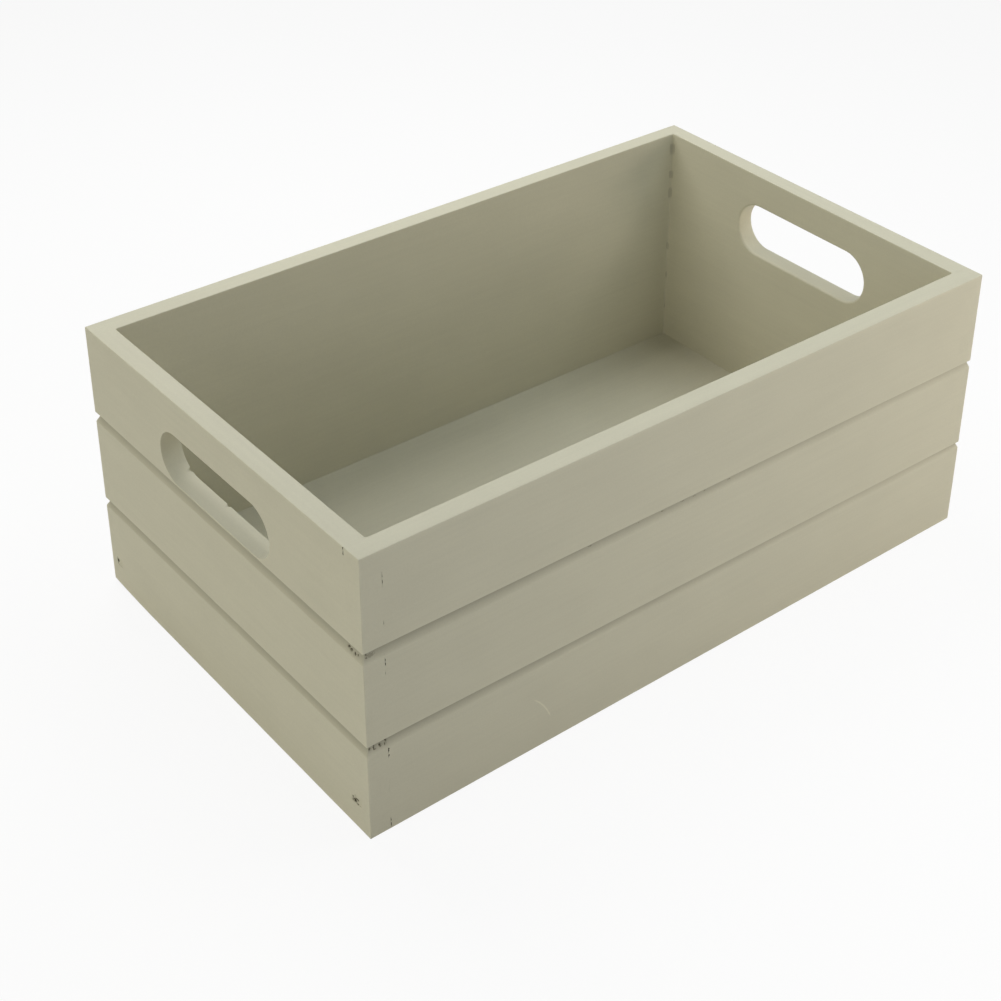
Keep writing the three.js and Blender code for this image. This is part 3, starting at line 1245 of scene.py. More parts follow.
@dataclass
class EndBoard(Board):
    """A short wall with a hand hole through its top slat.

    Attributes:
        hole: The hand hole.
        rim_margin: How far under the rim the lattice's bending round the hole ends.
        groove_margin: How far over the upper groove's lip it ends.
        side_margin: How far from the board's ends it ends, in thicknesses of the board.
    """

    hole: HandHole = HandHole()
    rim_margin: float = 2 * MM
    groove_margin: float = 0.1 * MM
    side_margin: float = 3.0

    def _rings(self) -> Array:
        """Distances from the hole's edge at which the lattice has lines, close together at first."""
        return np.array([0, 0.05, 0.13, 0.25, 0.42, 0.65, 0.95, 1.35, 1.9, 2.6]) * MM

    def face_stations(self, hand: int) -> Array:
        """Columns on one half of the face, with close ones round the hole.

        Args:
            hand: -1 for the left half and 1 for the right one.

        Returns:
            Minus the columns' distances from the middle, rising to nought.
        """
        spacing = self.form.spacing
        edge = -self.hole.core[0] - hand * self.hole.offset
        straight = -self.hole.straight - hand * self.hole.offset + spacing.past_round
        outside = edge - self._rings()
        plain = super().face_stations(hand)
        plain = plain[plain < outside.min() - spacing.by_hole]
        rounds = evenly(edge, straight, spacing.hole_round)
        inside = np.concatenate([rounds, evenly(straight, 0.0, spacing.hole_straight)])
        nicks = -hand * np.concatenate([np.zeros(0), *(chip.columns() for chip in self.inner_chips)])
        nicks = clear_of(nicks[(nicks > edge) & (nicks < 0)], inside, spacing.by_nick)
        return np.unique(np.round(np.concatenate([plain, outside, inside, nicks]), DECIMALS))

    def _core_levels(self) -> tuple[float, float]:
        """Heights of the lower and the upper edge of the hole's core."""
        return self.hole.middle - self.hole.core[1], self.hole.middle + self.hole.core[1]

    def kept_levels(self) -> Array:
        """Rows at the edge of the hole's core and close round it."""
        low, high = self._core_levels()
        return np.concatenate([low - self._rings(), high + self._rings()])

    def extra_levels(self) -> Array:
        """Rows inside the hole's core, and those for marks."""
        inside = evenly(*self._core_levels(), self.form.spacing.hole_row)
        return np.concatenate([super().extra_levels(), inside])

    def warped(self, along: Array, level: Array, height: Array) -> tuple[Array, Array]:
        """Bends the lattice so that the core's edge lies on the hole's edge.

        A point over or under the core moves up or down by as much as the hole's edge is beyond the
        core's there, and one beside it moves sideways. The move fades evenly to nought at the last
        line before the board's rim, its upper groove or its joints.

        Args:
            along: Places of the points along the face.
            level: Heights of their rows.
            height: Heights of the points once their rows follow the grooves.

        Returns:
            The bent places and heights.
        """
        half_long, half_high = self.hole.core
        straight, radius = self.hole.straight, self.hole.radius
        across = along - self.hole.offset
        up = level - self.hole.middle
        over = np.clip(np.abs(across) - straight, 0, radius)
        bulge_up = np.sqrt(radius ** 2 - over ** 2) - half_high
        bulge_side = straight + np.sqrt(radius ** 2 - np.clip(up, -half_high, half_high) ** 2)
        bulge_side = bulge_side - half_long
        lip = self.form.grooves[-1].upper_lip[0]
        room_up = self.form.sizes.height - self.rim_margin - self.hole.middle - half_high
        room_down = self.hole.middle - half_high - lip - self.groove_margin
        room_side = self.half_span - self.side_margin * self.form.sizes.wall - half_long
        room = np.where(up > 0, room_up, room_down)
        fade_up = np.clip(1 - (np.abs(up) - half_high) / room, 0, 1)
        fade_side = np.clip(1 - (np.abs(across) - half_long) / room_side, 0, 1)
        above = (np.abs(across) <= half_long + WELD) & (np.abs(up) >= half_high - WELD)
        beside = (np.abs(up) <= half_high + WELD) & (np.abs(across) >= half_long - WELD)
        moved_height = height + np.where(above, np.sign(up) * bulge_up * fade_up, 0)
        moved_along = along + np.where(beside, np.sign(across) * bulge_side * fade_side, 0)
        return moved_along, moved_height

    def hole_cells(self, stations: Stations, levels: Array) -> Array:
        """Which cells of the lattice lie in the hole's core."""
        half_long, half_high = self.hole.core
        across = (stations.along[:-1] + stations.along[1:]) / 2 - self.hole.offset
        up = (levels[:-1] + levels[1:]) / 2 - self.hole.middle
        return (np.abs(up) < half_high)[:, None] & (np.abs(across) < half_long)[None]

    def hole_distance(self, along: Array, height: Array) -> Array:
        """Distance of points outside the hole from its edge."""
        return self.hole.distance(along, height)

    def hole_easing(self, inside: bool) -> float:
        """Radius of the hand hole's edges, inside or outside."""
        return self.hole.inner_easing if inside else self.hole.outer_easing


@dataclass
class BottomPanel:
    """The thin panel that lies in the boards' slot.

    Attributes:
        name: Name of the finished piece.
        node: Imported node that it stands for.
        form: What all boards share.
        waviness: Unevenness of its faces.
        wave: Length of its waves.
        seed: Picks the waves.
        bead: Height of the paint that has run together along the walls.
        bead_reach: How far it reaches from them.
        bead_steps: Steps in which the lattice draws it.
        spacing: Greatest distance between the lattice's lines.
        hidden_spacing: The same in the slot.
    """

    name: str
    node: str
    form: BoxForm
    waviness: float = 0.06 * MM
    wave: float = 45 * MM
    seed: int = 8
    bead: float = 0.24 * MM
    bead_reach: float = 0.9 * MM
    bead_steps: int = 4
    spacing: float = 2.6 * MM
    hidden_spacing: float = 1.2 * MM

    def _lines(self, half: float, wall: float) -> Array:
        """Places of the lattice's lines from side to side, close together along the walls.

        Args:
            half: Half of the panel's length that way.
            wall: Distance of the wall's inner face from the middle.

        Returns:
            The places, rising.
        """
        bead = evenly(wall - self.bead_reach, wall, self.bead_reach / self.bead_steps)
        plain = evenly(0.0, wall - self.bead_reach, self.spacing)
        hidden = evenly(wall, half, self.hidden_spacing)
        right = np.unique(np.round(np.concatenate([plain, bead, hidden]), DECIMALS))
        return np.concatenate([-right[:0:-1], right])

    def build(self) -> bpy.types.Object:
        """Builds the panel: two sheets over a lattice of X and Y, the upper one gently uneven.

        Towards a wall the upper sheet rises by the bead's height, with the square of the nearness.

        Returns:
            The finished piece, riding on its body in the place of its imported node.
        """
        low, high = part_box(self.node)
        sizes = self.form.sizes
        wall_x, wall_y = sizes.half_length - sizes.wall, sizes.half_width - sizes.wall
        x, y = np.meshgrid(self._lines(high.x, wall_x), self._lines(high.y, wall_y))
        uneven = self.waviness * np.clip(1 + ripple(x, y, self.wave, self.seed), 0, 2) / 2
        distance = np.minimum(wall_x - np.abs(x), wall_y - np.abs(y))
        rise = (self.bead + uneven) * np.clip(1 - distance / self.bead_reach, 0, 1) ** 2
        top = np.stack([x, y, high.z - uneven + rise], axis=-1)
        under = np.stack([x, y, low.z + uneven], axis=-1)
        none = np.zeros(x.shape)
        present = np.ones((x.shape[0] - 1, x.shape[1] - 1), bool)
        marks = {"bare": (none, none), "edge": (none, none)}
        plate = Plate(top, under, present, marks, strip_steps=2)
        piece = plate.build(self.name)
        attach(piece, BODY)
        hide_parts(self.node)
        return piece


@dataclass
class SlotFiller:
    """A plug of filler in the end of the panel slot, painted over with the board.

    Attributes:
        node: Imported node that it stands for.
        sunk: Mean depth of its face behind the board's.
        least_sunk: Least depth of its face.
        rough: Unevenness of its face.
        wave: Length of the unevenness's waves.
        spacing: Greatest distance between the lattice's lines.
        clearance: Gap to the slot's sides.
        chips: Places where it has broken out. Their place along is that on the end board.
        seed: Picks its unevenness.
    """

    node: str
    sunk: float = 0.08 * MM
    least_sunk: float = 0.02 * MM
    rough: float = 0.05 * MM
    wave: float = 0.9 * MM
    spacing: float = 0.12 * MM
    clearance: float = 0.03 * MM
    chips: tuple[Chip, ...] = ()
    seed: int = 3

    def build(self) -> bpy.types.Object:
        """Builds the plug: an outer sheet over Y and Z, rippled along X, and a plain inner one.

        Returns:
            The finished piece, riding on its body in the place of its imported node.
        """
        low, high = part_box(self.node)
        outwards = -1 if low.x < 0 else 1
        gap = self.clearance
        across = evenly(low.y + gap, high.y - gap, self.spacing)
        up = evenly(low.z + gap, high.z - gap, self.spacing)
        y, z = np.meshgrid(across[::outwards], up)
        sunk = self.sunk + self.rough * ripple(y, z, self.wave, self.seed)
        sunk = np.clip(sunk, self.least_sunk, None)
        bare = np.zeros(y.shape)
        for chip in self.chips:
            strength = chip.strength(outwards * y, z)
            sunk = sunk + chip.depth * strength
            bare = np.maximum(bare, chip.bareness * strength)
        face_x = outwards * (max(abs(low.x), abs(high.x)) - sunk)
        back_x = np.full(y.shape, outwards * min(abs(low.x), abs(high.x)))
        face, back = np.stack([face_x, y, z], axis=-1), np.stack([back_x, y, z], axis=-1)
        full, none = np.ones(y.shape), np.zeros(y.shape)
        present = np.ones((y.shape[0] - 1, y.shape[1] - 1), bool)
        marks = {"bare": (bare, full), "edge": (none, none)}
        plate = Plate(face, back, present, marks, strip_steps=2)
        piece = plate.build(self.node.replace("slot_filler", "filler_plug"))
        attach(piece, BODY)
        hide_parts(self.node)
        return piece


def feed(node: bpy.types.Node, inputs: dict[str | int, object]) -> None:
    """Sets inputs of a node.

    Args:
        node: The node.
        inputs: By an input's name or place, the socket that feeds it or its value.
    """
    for place, value in inputs.items():
        if isinstance(value, Socket):
            node.id_data.links.new(value, node.inputs[place])
        else:
            node.inputs[place].default_value = value


def add_node(tree: Tree, kind: str, inputs: dict[str | int, object], **settings: object) -> bpy.types.Node:
    """Adds a node.

    Args:
        tree: Node tree that it goes into.
        kind: Type name of the node.
        inputs: By an input's name or place, the socket that feeds it or its value.
        **settings: Properties by name.

    Returns:
        The node.
    """
    node = tree.nodes.new(kind)
    for name, value in settings.items():
        setattr(node, name, value)
    feed(node, inputs)
    return node


def mark_node(tree: Tree, name: str) -> Socket:
    """Adds a node that reads a mark of the mesh."""
    return add_node(tree, "ShaderNodeAttribute", {}, attribute_name=name).outputs["Fac"]


def math_node(tree: Tree, operation: str, *values: Socket | float) -> Socket:
    """Adds a maths node, and returns its output socket."""
    return add_node(tree, "ShaderNodeMath", dict(enumerate(values)), operation=operation).outputs[0]


def mapped(tree: Tree, value: Socket, span: tuple[float, float], to: tuple[float, float]) -> Socket:
    """Adds a node that carries a range of values over to another, and stops at its ends.

    Args:
        tree: Node tree that it goes into.
        value: Socket of the value.
        span: Start and end of its range.
        to: Start and end of the range that it is carried to.

    Returns:
        Its output socket.
    """
    inputs = {"Value": value, "From Min": span[0], "From Max": span[1], "To Min": to[0], "To Max": to[1]}
    return add_node(tree, "ShaderNodeMapRange", inputs, clamp=True).outputs["Result"]


def new_group(name: str, inputs: dict[str, str], outputs: dict[str, str]) -> Tree:
    """Makes an empty node group with named sockets.

    Args:
        name: Name of the group.
        inputs: Socket type of each input by its name.
        outputs: Socket type of each output by its name.

    Returns:
        The group's tree, with its input and output nodes.
    """
    tree = bpy.data.node_groups.new(name, "ShaderNodeTree")
    for socket, kind in inputs.items():
        tree.interface.new_socket(name=socket, in_out="INPUT", socket_type=kind)
    for socket, kind in outputs.items():
        tree.interface.new_socket(name=socket, in_out="OUTPUT", socket_type=kind)
    tree.nodes.new("NodeGroupInput").name = "in"
    tree.nodes.new("NodeGroupOutput").name = "out"
    return tree


@dataclass(frozen=True)
class NodeGroup:
    """A node group, which is built once and shared by the materials.

    Attributes:
        name: Name of the group.
    """

    name: str = ""

    def tree(self) -> Tree:
        """The group's tree, which is built if it isn't there yet."""
        return bpy.data.node_groups.get(self.name) or self.built()

    def built(self) -> Tree:
        """Builds the group's tree."""
        raise NotImplementedError


@dataclass(frozen=True)
class PaintedGrain(NodeGroup):
    """Node group: wood grain that shows through a thin coat of paint, with a fine stipple.

    Its Point is the place on the wood in metres, already turned so that X runs along the grain. Its
    Shade is a factor for the colour, and its Height is for bump. Scales are in waves to the metre.

    Attributes:
        name: Name of the group.
        streaks: Scale of the grain's streaks.
        mottle: Scale of the coat's mottle.
        stipple: Scale of its stipple.
        stipple_height: Height of the stipple as a share of the streaks'.
    """

    name: str = "painted_grain"
    streaks: tuple[float, float, float] = (25, 750, 750)
    mottle: tuple[float, float, float] = (45, 60, 60)
    stipple: tuple[float, float, float] = (1500, 1700, 1700)
    stipple_height: float = 0.6

    def built(self) -> Tree:
        """Builds the group's tree."""
        inputs = {"Point": VECTOR, "Streaks": FLOAT, "Mottle": FLOAT, "Stipple": FLOAT}
        tree = new_group(self.name, inputs, {"Shade": FLOAT, "Height": FLOAT})
        given = tree.nodes["in"].outputs
        streaks = self._noise(tree, given["Point"], self.streaks, detail=1.0)
        mottle = self._noise(tree, given["Point"], self.mottle, detail=1.0)
        stipple = self._noise(tree, given["Point"], self.stipple, detail=0.0)
        shade = math_node(tree, "MULTIPLY", streaks, given["Streaks"])
        for noise, strength in ((mottle, "Mottle"), (stipple, "Stipple")):
            shade = math_node(tree, "ADD", shade, math_node(tree, "MULTIPLY", noise, given[strength]))
        shade = math_node(tree, "ADD", shade, 1.0)
        raised = math_node(tree, "MULTIPLY", stipple, self.stipple_height)
        height = math_node(tree, "ADD", streaks, raised)
        feed(tree.nodes["out"], {"Shade": shade, "Height": height})
        return tree

    @staticmethod
    def _noise(tree: Tree, point: Socket, scale: tuple[float, float, float], detail: float) -> Socket:
        """Noise over the scaled point, about nought."""
        scaled = add_node(tree, "ShaderNodeVectorMath", {0: point, 1: scale}, operation="MULTIPLY")
        inputs = {"Vector": scaled.outputs[0], "Scale": 1.0, "Detail": detail}
        node = add_node(tree, "ShaderNodeTexNoise", inputs)
        return math_node(tree, "SUBTRACT", node.outputs[0], 0.5)


@dataclass(frozen=True)
class BareWood(NodeGroup):
    """Node group: where torn-out places show raw wood through the paint.

    Attributes:
        name: Name of the group.
        start: Bareness at which the wood starts to show.
        full: Bareness from which only the wood shows.
    """

    name: str = "bare_wood"
    start: float = 0.25
    full: float = 0.6

    def built(self) -> Tree:
        """Builds the group's tree."""
        tree = new_group(self.name, {"Paint": COLOUR, "Wood": COLOUR}, {"Color": COLOUR, "Mask": FLOAT})
        given = tree.nodes["in"].outputs
        mask = mapped(tree, mark_node(tree, "bare"), (self.start, self.full), (0.0, 1.0))
        mix = add_node(tree, "ShaderNodeMix", {"Factor": mask}, data_type="RGBA")
        first, second = [place for place, socket in enumerate(mix.inputs) if socket.type == "RGBA"]
        feed(mix, {first: given["Paint"], second: given["Wood"]})
        result = next(socket for socket in mix.outputs if socket.type == "RGBA")
        feed(tree.nodes["out"], {"Color": result, "Mask": mask})
        return tree


@dataclass(frozen=True)
class Scuff(NodeGroup):
    """Node group: a thin pale scuff on the front board, in an arc that bends to the right.

    Attributes:
        name: Name of the group.
        middle: Middle of its arc, along X and Z.
        radius: Radius of its arc.
        low: Height at which it ends.
        high: Height at which it starts.
        half_width: Half of its width.
        core: Share of its width that is palest.
        fade: Over how much height its ends fade.
        cut: Over how much length it is cut off at the arc's middle and within the front board.
        inside: How far from the middle of the box the wood that it marks starts.
    """

    name: str = "scuff"
    middle: tuple[float, float] = (-85.5 * MM, 2.3 * MM)
    radius: float = 24.5 * MM
    low: float = 9.9 * MM
    high: float = 20.7 * MM
    half_width: float = 0.36 * MM
    core: float = 0.3
    fade: float = 1.6 * MM
    cut: float = 1 * MM
    inside: float = 77 * MM

    def built(self) -> Tree:
        """Builds the group's tree, whose Mask is 1 on the scuff."""
        tree = new_group(self.name, {"Point": VECTOR}, {"Mask": FLOAT})
        x, y, z = add_node(tree, "ShaderNodeSeparateXYZ", {0: tree.nodes["in"].outputs["Point"]}).outputs
        across = math_node(tree, "POWER", math_node(tree, "SUBTRACT", x, self.middle[0]), 2.0)
        up = math_node(tree, "POWER", math_node(tree, "SUBTRACT", z, self.middle[1]), 2.0)
        away = math_node(tree, "SQRT", math_node(tree, "ADD", across, up))
        beside = math_node(tree, "ABSOLUTE", math_node(tree, "SUBTRACT", away, self.radius))
        bounds = (
            (beside, self.half_width, self.core * self.half_width),
            (z, self.high, self.high - self.fade),
            (z, self.low, self.low + self.fade),
            (y, -self.inside, -self.inside - self.cut),
            (x, self.middle[0], self.middle[0] + self.cut),
        )
        mask, below, above, outside, right = [
            mapped(tree, value, (start, end), (0.0, 1.0)) for value, start, end in bounds
        ]
        mask = math_node(tree, "MULTIPLY", mask, math_node(tree, "MULTIPLY", below, above))
        mask = math_node(tree, "MULTIPLY", mask, math_node(tree, "MULTIPLY", outside, right))
        feed(tree.nodes["out"], {"Mask": mask})
        return tree


@dataclass(frozen=True)
class PaintFinish:
    """A satin paint on wood.

    Attributes:
        name: Name of the material.
        paint: Colour of the paint.
        wood: Colour of the wood where the paint is broken.
        grain_turn: Turn about Z from the X axis to the grain.
        roughness: Roughness of the paint.
        bare_roughness: Roughness of the bare wood.
        specular: How strongly both reflect.
        streaks: How strongly the grain shades the paint.
        mottle: How strongly the coat's thickness shades it.
        stipple: How strongly its fine stipple shades it.
        edge_wear_and_highlight: How much paler the sanded edges are, partly worn, thin paint and partly a
            painted highlight.
        painted_groove_shade: How much darker the paint is at the bottom of the deepest grooves, a painted
            shade.
        relief: Height of the grain's bump.
        scuff: How much paler the scuff is, or nought without one.
    """

    name: str
    paint: tuple[float, float, float]
    wood: tuple[float, float, float] = (0.080, 0.070, 0.048)
    grain_turn: float = 0.0
    roughness: float = 0.58
    bare_roughness: float = 0.9
    specular: float = 0.2
    streaks: float = 0.06
    mottle: float = 0.06
    stipple: float = 0.05
    edge_wear_and_highlight: float = 0.08
    painted_groove_shade: float = 0.46
    relief: float = 0.02 * MM
    scuff: float = 0.0

    def material(self) -> bpy.types.Material:
        """Builds the material.

        Returns:
            The material.
        """
        made = bpy.data.materials.new(self.name)
        made.use_nodes = True
        tree = made.node_tree
        shader = tree.nodes["Principled BSDF"]
        place = add_node(tree, "ShaderNodeTexCoord", {}).outputs["Object"]
        turn = {"Vector": place, "Rotation": (0.0, 0.0, -self.grain_turn)}
        turned = add_node(tree, "ShaderNodeMapping", turn).outputs[0]
        given = {"Point": turned, "Streaks": self.streaks, "Mottle": self.mottle, "Stipple": self.stipple}
        grain = add_node(tree, "ShaderNodeGroup", given, node_tree=PaintedGrain().tree())
        shade = grain.outputs["Shade"]
        # Paler sanded edges: partly worn, thin paint and partly a painted highlight.
        lift = math_node(tree, "MULTIPLY_ADD", mark_node(tree, "edge"), self.edge_wear_and_highlight, shade)
        # Painted shade: the paint gets darker towards the bottom of the grooves.
        shade_in_grooves = mapped(tree, mark_node(tree, "groove"), (0.0, 1.0), (1.0, 1.0 - self.painted_groove_shade))
        lift = math_node(tree, "MULTIPLY", lift, shade_in_grooves)
        if self.scuff:
            scuffed = add_node(tree, "ShaderNodeGroup", {"Point": place}, node_tree=Scuff().tree())
            paler = mapped(tree, scuffed.outputs["Mask"], (0.0, 1.0), (1.0, 1.0 + self.scuff))
            lift = math_node(tree, "MULTIPLY", lift, paler)
        shaded = add_node(tree, "ShaderNodeVectorMath", {0: self.paint}, operation="SCALE")
        feed(shaded, {"Scale": lift})
        colours = {"Paint": shaded.outputs[0], "Wood": (*self.wood, 1.0)}
        bare = add_node(tree, "ShaderNodeGroup", colours, node_tree=BareWood().tree())
        rough = mapped(tree, bare.outputs["Mask"], (0.0, 1.0), (self.roughness, self.bare_roughness))
        relief = {"Height": grain.outputs["Height"], "Strength": 1.0, "Distance": self.relief}
        bump = add_node(tree, "ShaderNodeBump", relief)
        shader.inputs["Specular IOR Level"].default_value = self.specular
        feed(shader, {"Base Color": bare.outputs["Color"], "Roughness": rough, "Normal": bump.outputs[0]})
        return made


def direction(azimuth: float, elevation: float) -> Vector:
    """A direction from the box.

    Args:
        azimuth: Its turn in degrees, 0 in front and 90 to the right.
        elevation: Its height over the horizon in degrees.

    Returns:
        The direction, one metre long.
    """
    turn, height = math.radians(azimuth), math.radians(elevation)
    flat = math.cos(height)
    return Vector((math.sin(turn) * flat, -math.cos(turn) * flat, math.sin(height)))


@dataclass(frozen=True)
class SoftBox:
    """A square studio lamp that faces the box.

    Attributes:
        name: Name of the lamp.
        azimuth: Direction in which it stands, in degrees, 0 in front and 90 to the right.
        elevation: Height of that direction over the horizon, in degrees.
        distance: Distance from the box.
        size: Length of its sides.
        power: Power in watts.
        colour: Colour of its light.
    """

    name: str
    azimuth: float
    elevation: float
    distance: float
    size: float
    power: float
    colour: tuple[float, float, float] = (1.0, 1.0, 1.0)

    def build(self, target: Vector) -> bpy.types.Object:
        """Places the lamp.

        Args:
            target: Point that it faces.

        Returns:
            The lamp.
        """
        back = direction(self.azimuth, self.elevation)
        light = bpy.data.lights.new(self.name, "AREA")
        light.shape = "SQUARE"
        light.size = self.size
        light.energy = self.power
        light.color = self.colour
        lamp = bpy.data.objects.new(self.name, light)
        lamp.location = target + back * self.distance
        lamp.rotation_mode = "QUATERNION"
        lamp.rotation_quaternion = (-back).to_track_quat("-Z", "Y")
        bpy.context.scene.collection.objects.link(lamp)
        return lamp


@dataclass(frozen=True)
class PhotoCamera:
    """The photograph's camera. Pixels count from the image's top left.

    Attributes:
        place: Where it stands.
        azimuth: Direction from the box to it, in degrees, 0 in front and 90 to the right.
        elevation: Height of that direction over the horizon, in degrees.
        roll: Turn about its axis, in degrees.
        focal_pixels: Focal length in pixels.
        principal: Pixel on its axis.
        image_size: Width and height of the image in pixels.
        sensor: Width of the sensor in millimetres.
        clip: Nearest and farthest distance that it shows.
    """

    place: tuple[float, float, float] = (-0.359426, -0.433951, 0.425678)
    azimuth: float = -39.534
    elevation: float = 29.629
    roll: float = 0.8236
    focal_pixels: float = 1904.10
    principal: tuple[float, float] = (543.694, 298.925)
    image_size: int = 1001
    sensor: float = 36.0
    clip: tuple[float, float] = (0.01, 20.0)

    def build(self) -> bpy.types.Object:
        """Makes the camera and sets it as the scene's own.

        Returns:
            The camera.
        """
        back = direction(self.azimuth, self.elevation)
        data = bpy.data.cameras.new("photo_camera")
        data.sensor_width = self.sensor
        data.lens = self.focal_pixels / self.image_size * self.sensor
        middle = (self.image_size - 1) / 2
        data.shift_x = (middle - self.principal[0]) / self.image_size
        data.shift_y = (self.principal[1] - middle) / self.image_size
        data.clip_start, data.clip_end = self.clip
        camera = bpy.data.objects.new("photo_camera", data)
        level = (-back).to_track_quat("-Z", "Y").to_matrix()
        turned = level @ Matrix.Rotation(math.radians(self.roll), 3, "Z")
        camera.matrix_world = Matrix.Translation(self.place) @ turned.to_4x4()
        bpy.context.scene.collection.objects.link(camera)
        bpy.context.scene.camera = camera
        return camera


@dataclass
class Studio:
    """Pale floor, soft lamps and an even surrounding.

    Attributes:
        target: Point that the lamps face.
        lamps: The soft boxes.
        sky: Strength of the even light all round.
        floor_radius: Radius of the round floor.
        floor_rings: Rings of the floor's points, the middle being the first.
        floor_points: Points of one ring, the last being the first again.
        floor_weld: Size of a place in which its points are joined.
        floor_colour: How much light the floor throws back.
        floor_lift: Share of the floor's look that no shadow reaches.
    """

    target: Vector = field(default_factory=lambda: Vector((0, 0, 0.05)))
    lamps: tuple[SoftBox, ...] = (
        SoftBox("front_box", 0.0, 30.0, 0.6, 0.4, 0.65, (0.86, 0.94, 1.0)),
        SoftBox("low_box", 45.0, 8.0, 0.6, 0.3, 1.24, (1.0, 0.89, 0.76)),
        SoftBox("back_box", 180.0, 60.0, 0.6, 0.4, 2.03, (1.0, 1.0, 0.98)),
        SoftBox("right_box", 75.0, 60.0, 0.7, 0.4, 1.47, (0.90, 0.97, 1.0)),
        SoftBox("left_box", -90.0, 12.0, 1.4, 1.0, 9.70, (1.0, 0.98, 0.86)),
    )
    sky: float = 0.002
    floor_radius: float = 4.0
    floor_rings: int = 25
    floor_points: int = 65
    floor_weld: float = 1e-6
    floor_colour: tuple[float, float, float] = (0.80, 0.80, 0.80)
    floor_lift: float = 0.90

    def build(self) -> None:
        """Builds the lamps, the floor and the surrounding."""
        for lamp in self.lamps:
            lamp.build(self.target)
        self._floor()
        self._surrounding()
        bpy.context.scene.view_settings.view_transform = "Standard"

    def _floor(self) -> bpy.types.Object:
        """A round sheet in fine rings, whose radii grow by the square of an even count.

        Returns:
            The floor, marked as stage.
        """
        turns = np.linspace(0, 2 * np.pi, self.floor_points)[None]
        radii = self.floor_radius * np.linspace(0, 1, self.floor_rings)[:, None] ** 2
        x, y = radii * np.cos(turns), radii * np.sin(turns)
        points = np.stack([x, y, np.zeros(x.shape)], axis=-1).reshape(-1, 3)
        quads = sheet_cells(np.arange(x.size).reshape(x.shape)).reshape(-1, 4)
        first, quads = welded(points, quads, self.floor_weld)
        floor = mesh_object("floor", points[first], quads[:, ::-1], {})
        floor.data.materials.append(self._floor_material())
        floor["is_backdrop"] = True
        return floor

    def _floor_material(self) -> bpy.types.Material:
        """A matt pale floor. Camera, glossy and transmitted rays see it as mostly lit from within, so
        that it is white and keeps a soft shadow.

        Returns:
            The material.
        """
        made = bpy.data.materials.new("pale_floor")
        made.use_nodes = True
        tree = made.node_tree
        shader = tree.nodes["Principled BSDF"]
        feed(shader, {"Base Color": (*self.floor_colour, 1.0), "Roughness": 1.0, "Specular IOR Level": 0.0})
        share = 1.0 - self.floor_lift
        dimmed = add_node(tree, "ShaderNodeBsdfDiffuse", {"Color": (share, share, share, 1.0)})
        glow = add_node(tree, "ShaderNodeEmission", {"Strength": self.floor_lift})
        seen = add_node(tree, "ShaderNodeAddShader", {0: dimmed.outputs[0], 1: glow.outputs[0]})
        choice = {0: camera_like_ray(tree), 1: shader.outputs[0], 2: seen.outputs[0]}
        mix = add_node(tree, "ShaderNodeMixShader", choice)
        feed(tree.nodes["Material Output"], {"Surface": mix.outputs[0]})
        return made

    def _surrounding(self) -> None:
        """White to camera, glossy and transmitted rays, and an even dim light otherwise."""
        world = bpy.data.worlds.new("surrounding")
        world.use_nodes = True
        tree = world.node_tree
        tree.nodes.clear()
        even, white = [
            add_node(tree, "ShaderNodeBackground", {"Color": (1.0,) * 4, "Strength": strength}).outputs[0]
            for strength in (self.sky, 1.0)
        ]
        mix = add_node(tree, "ShaderNodeMixShader", {0: camera_like_ray(tree), 1: even, 2: white})
        add_node(tree, "ShaderNodeOutputWorld", {"Surface": mix.outputs[0]})
        bpy.context.scene.world = world


def camera_like_ray(tree: Tree) -> Socket:
    """Adds nodes that tell camera, glossy and transmitted rays from the rest.

    Args:
        tree: Node tree that they go into.

    Returns:
        A socket that is 1 for those rays and 0 for others.
    """
    path = add_node(tree, "ShaderNodeLightPath", {})
    total = math_node(tree, "ADD", path.outputs["Is Camera Ray"], path.outputs["Is Glossy Ray"])
    total = math_node(tree, "ADD", total, path.outputs["Is Transmission Ray"])
    return math_node(tree, "MINIMUM", total, 1.0)


def dress(piece: bpy.types.Object, finish: PaintFinish) -> None:
    """Gives a piece its finish.

    Args:
        piece: The piece.
        finish: The finish.
    """
    piece.data.materials.clear()
    piece.data.materials.append(finish.material())
    LOG.info("%s: %d faces, finish %s", piece.name, len(piece.data.polygons), finish.name)


def marks_of(
    places: list[tuple[float, ...]], depth: float, bareness: float, ragged: float, first_seed: int = 0
) -> tuple[Chip, ...]:
    """Torn-out places of one kind.

    Args:
        places: For each, in millimetres, its middle along and up, and how far it reaches both ways.
        depth: Greatest depth of each, in millimetres.
        bareness: How bare the wood is in its middle.
        ragged: How ragged its outline is.
        first_seed: Seed of the first one. Each further one has the next.

    Returns:
        The places.
    """
    return tuple(
        Chip(along * MM, height * MM, length * MM, high * MM, depth * MM, seed, bareness, ragged)
        for seed, (along, height, length, high) in enumerate(places, first_seed)
    )


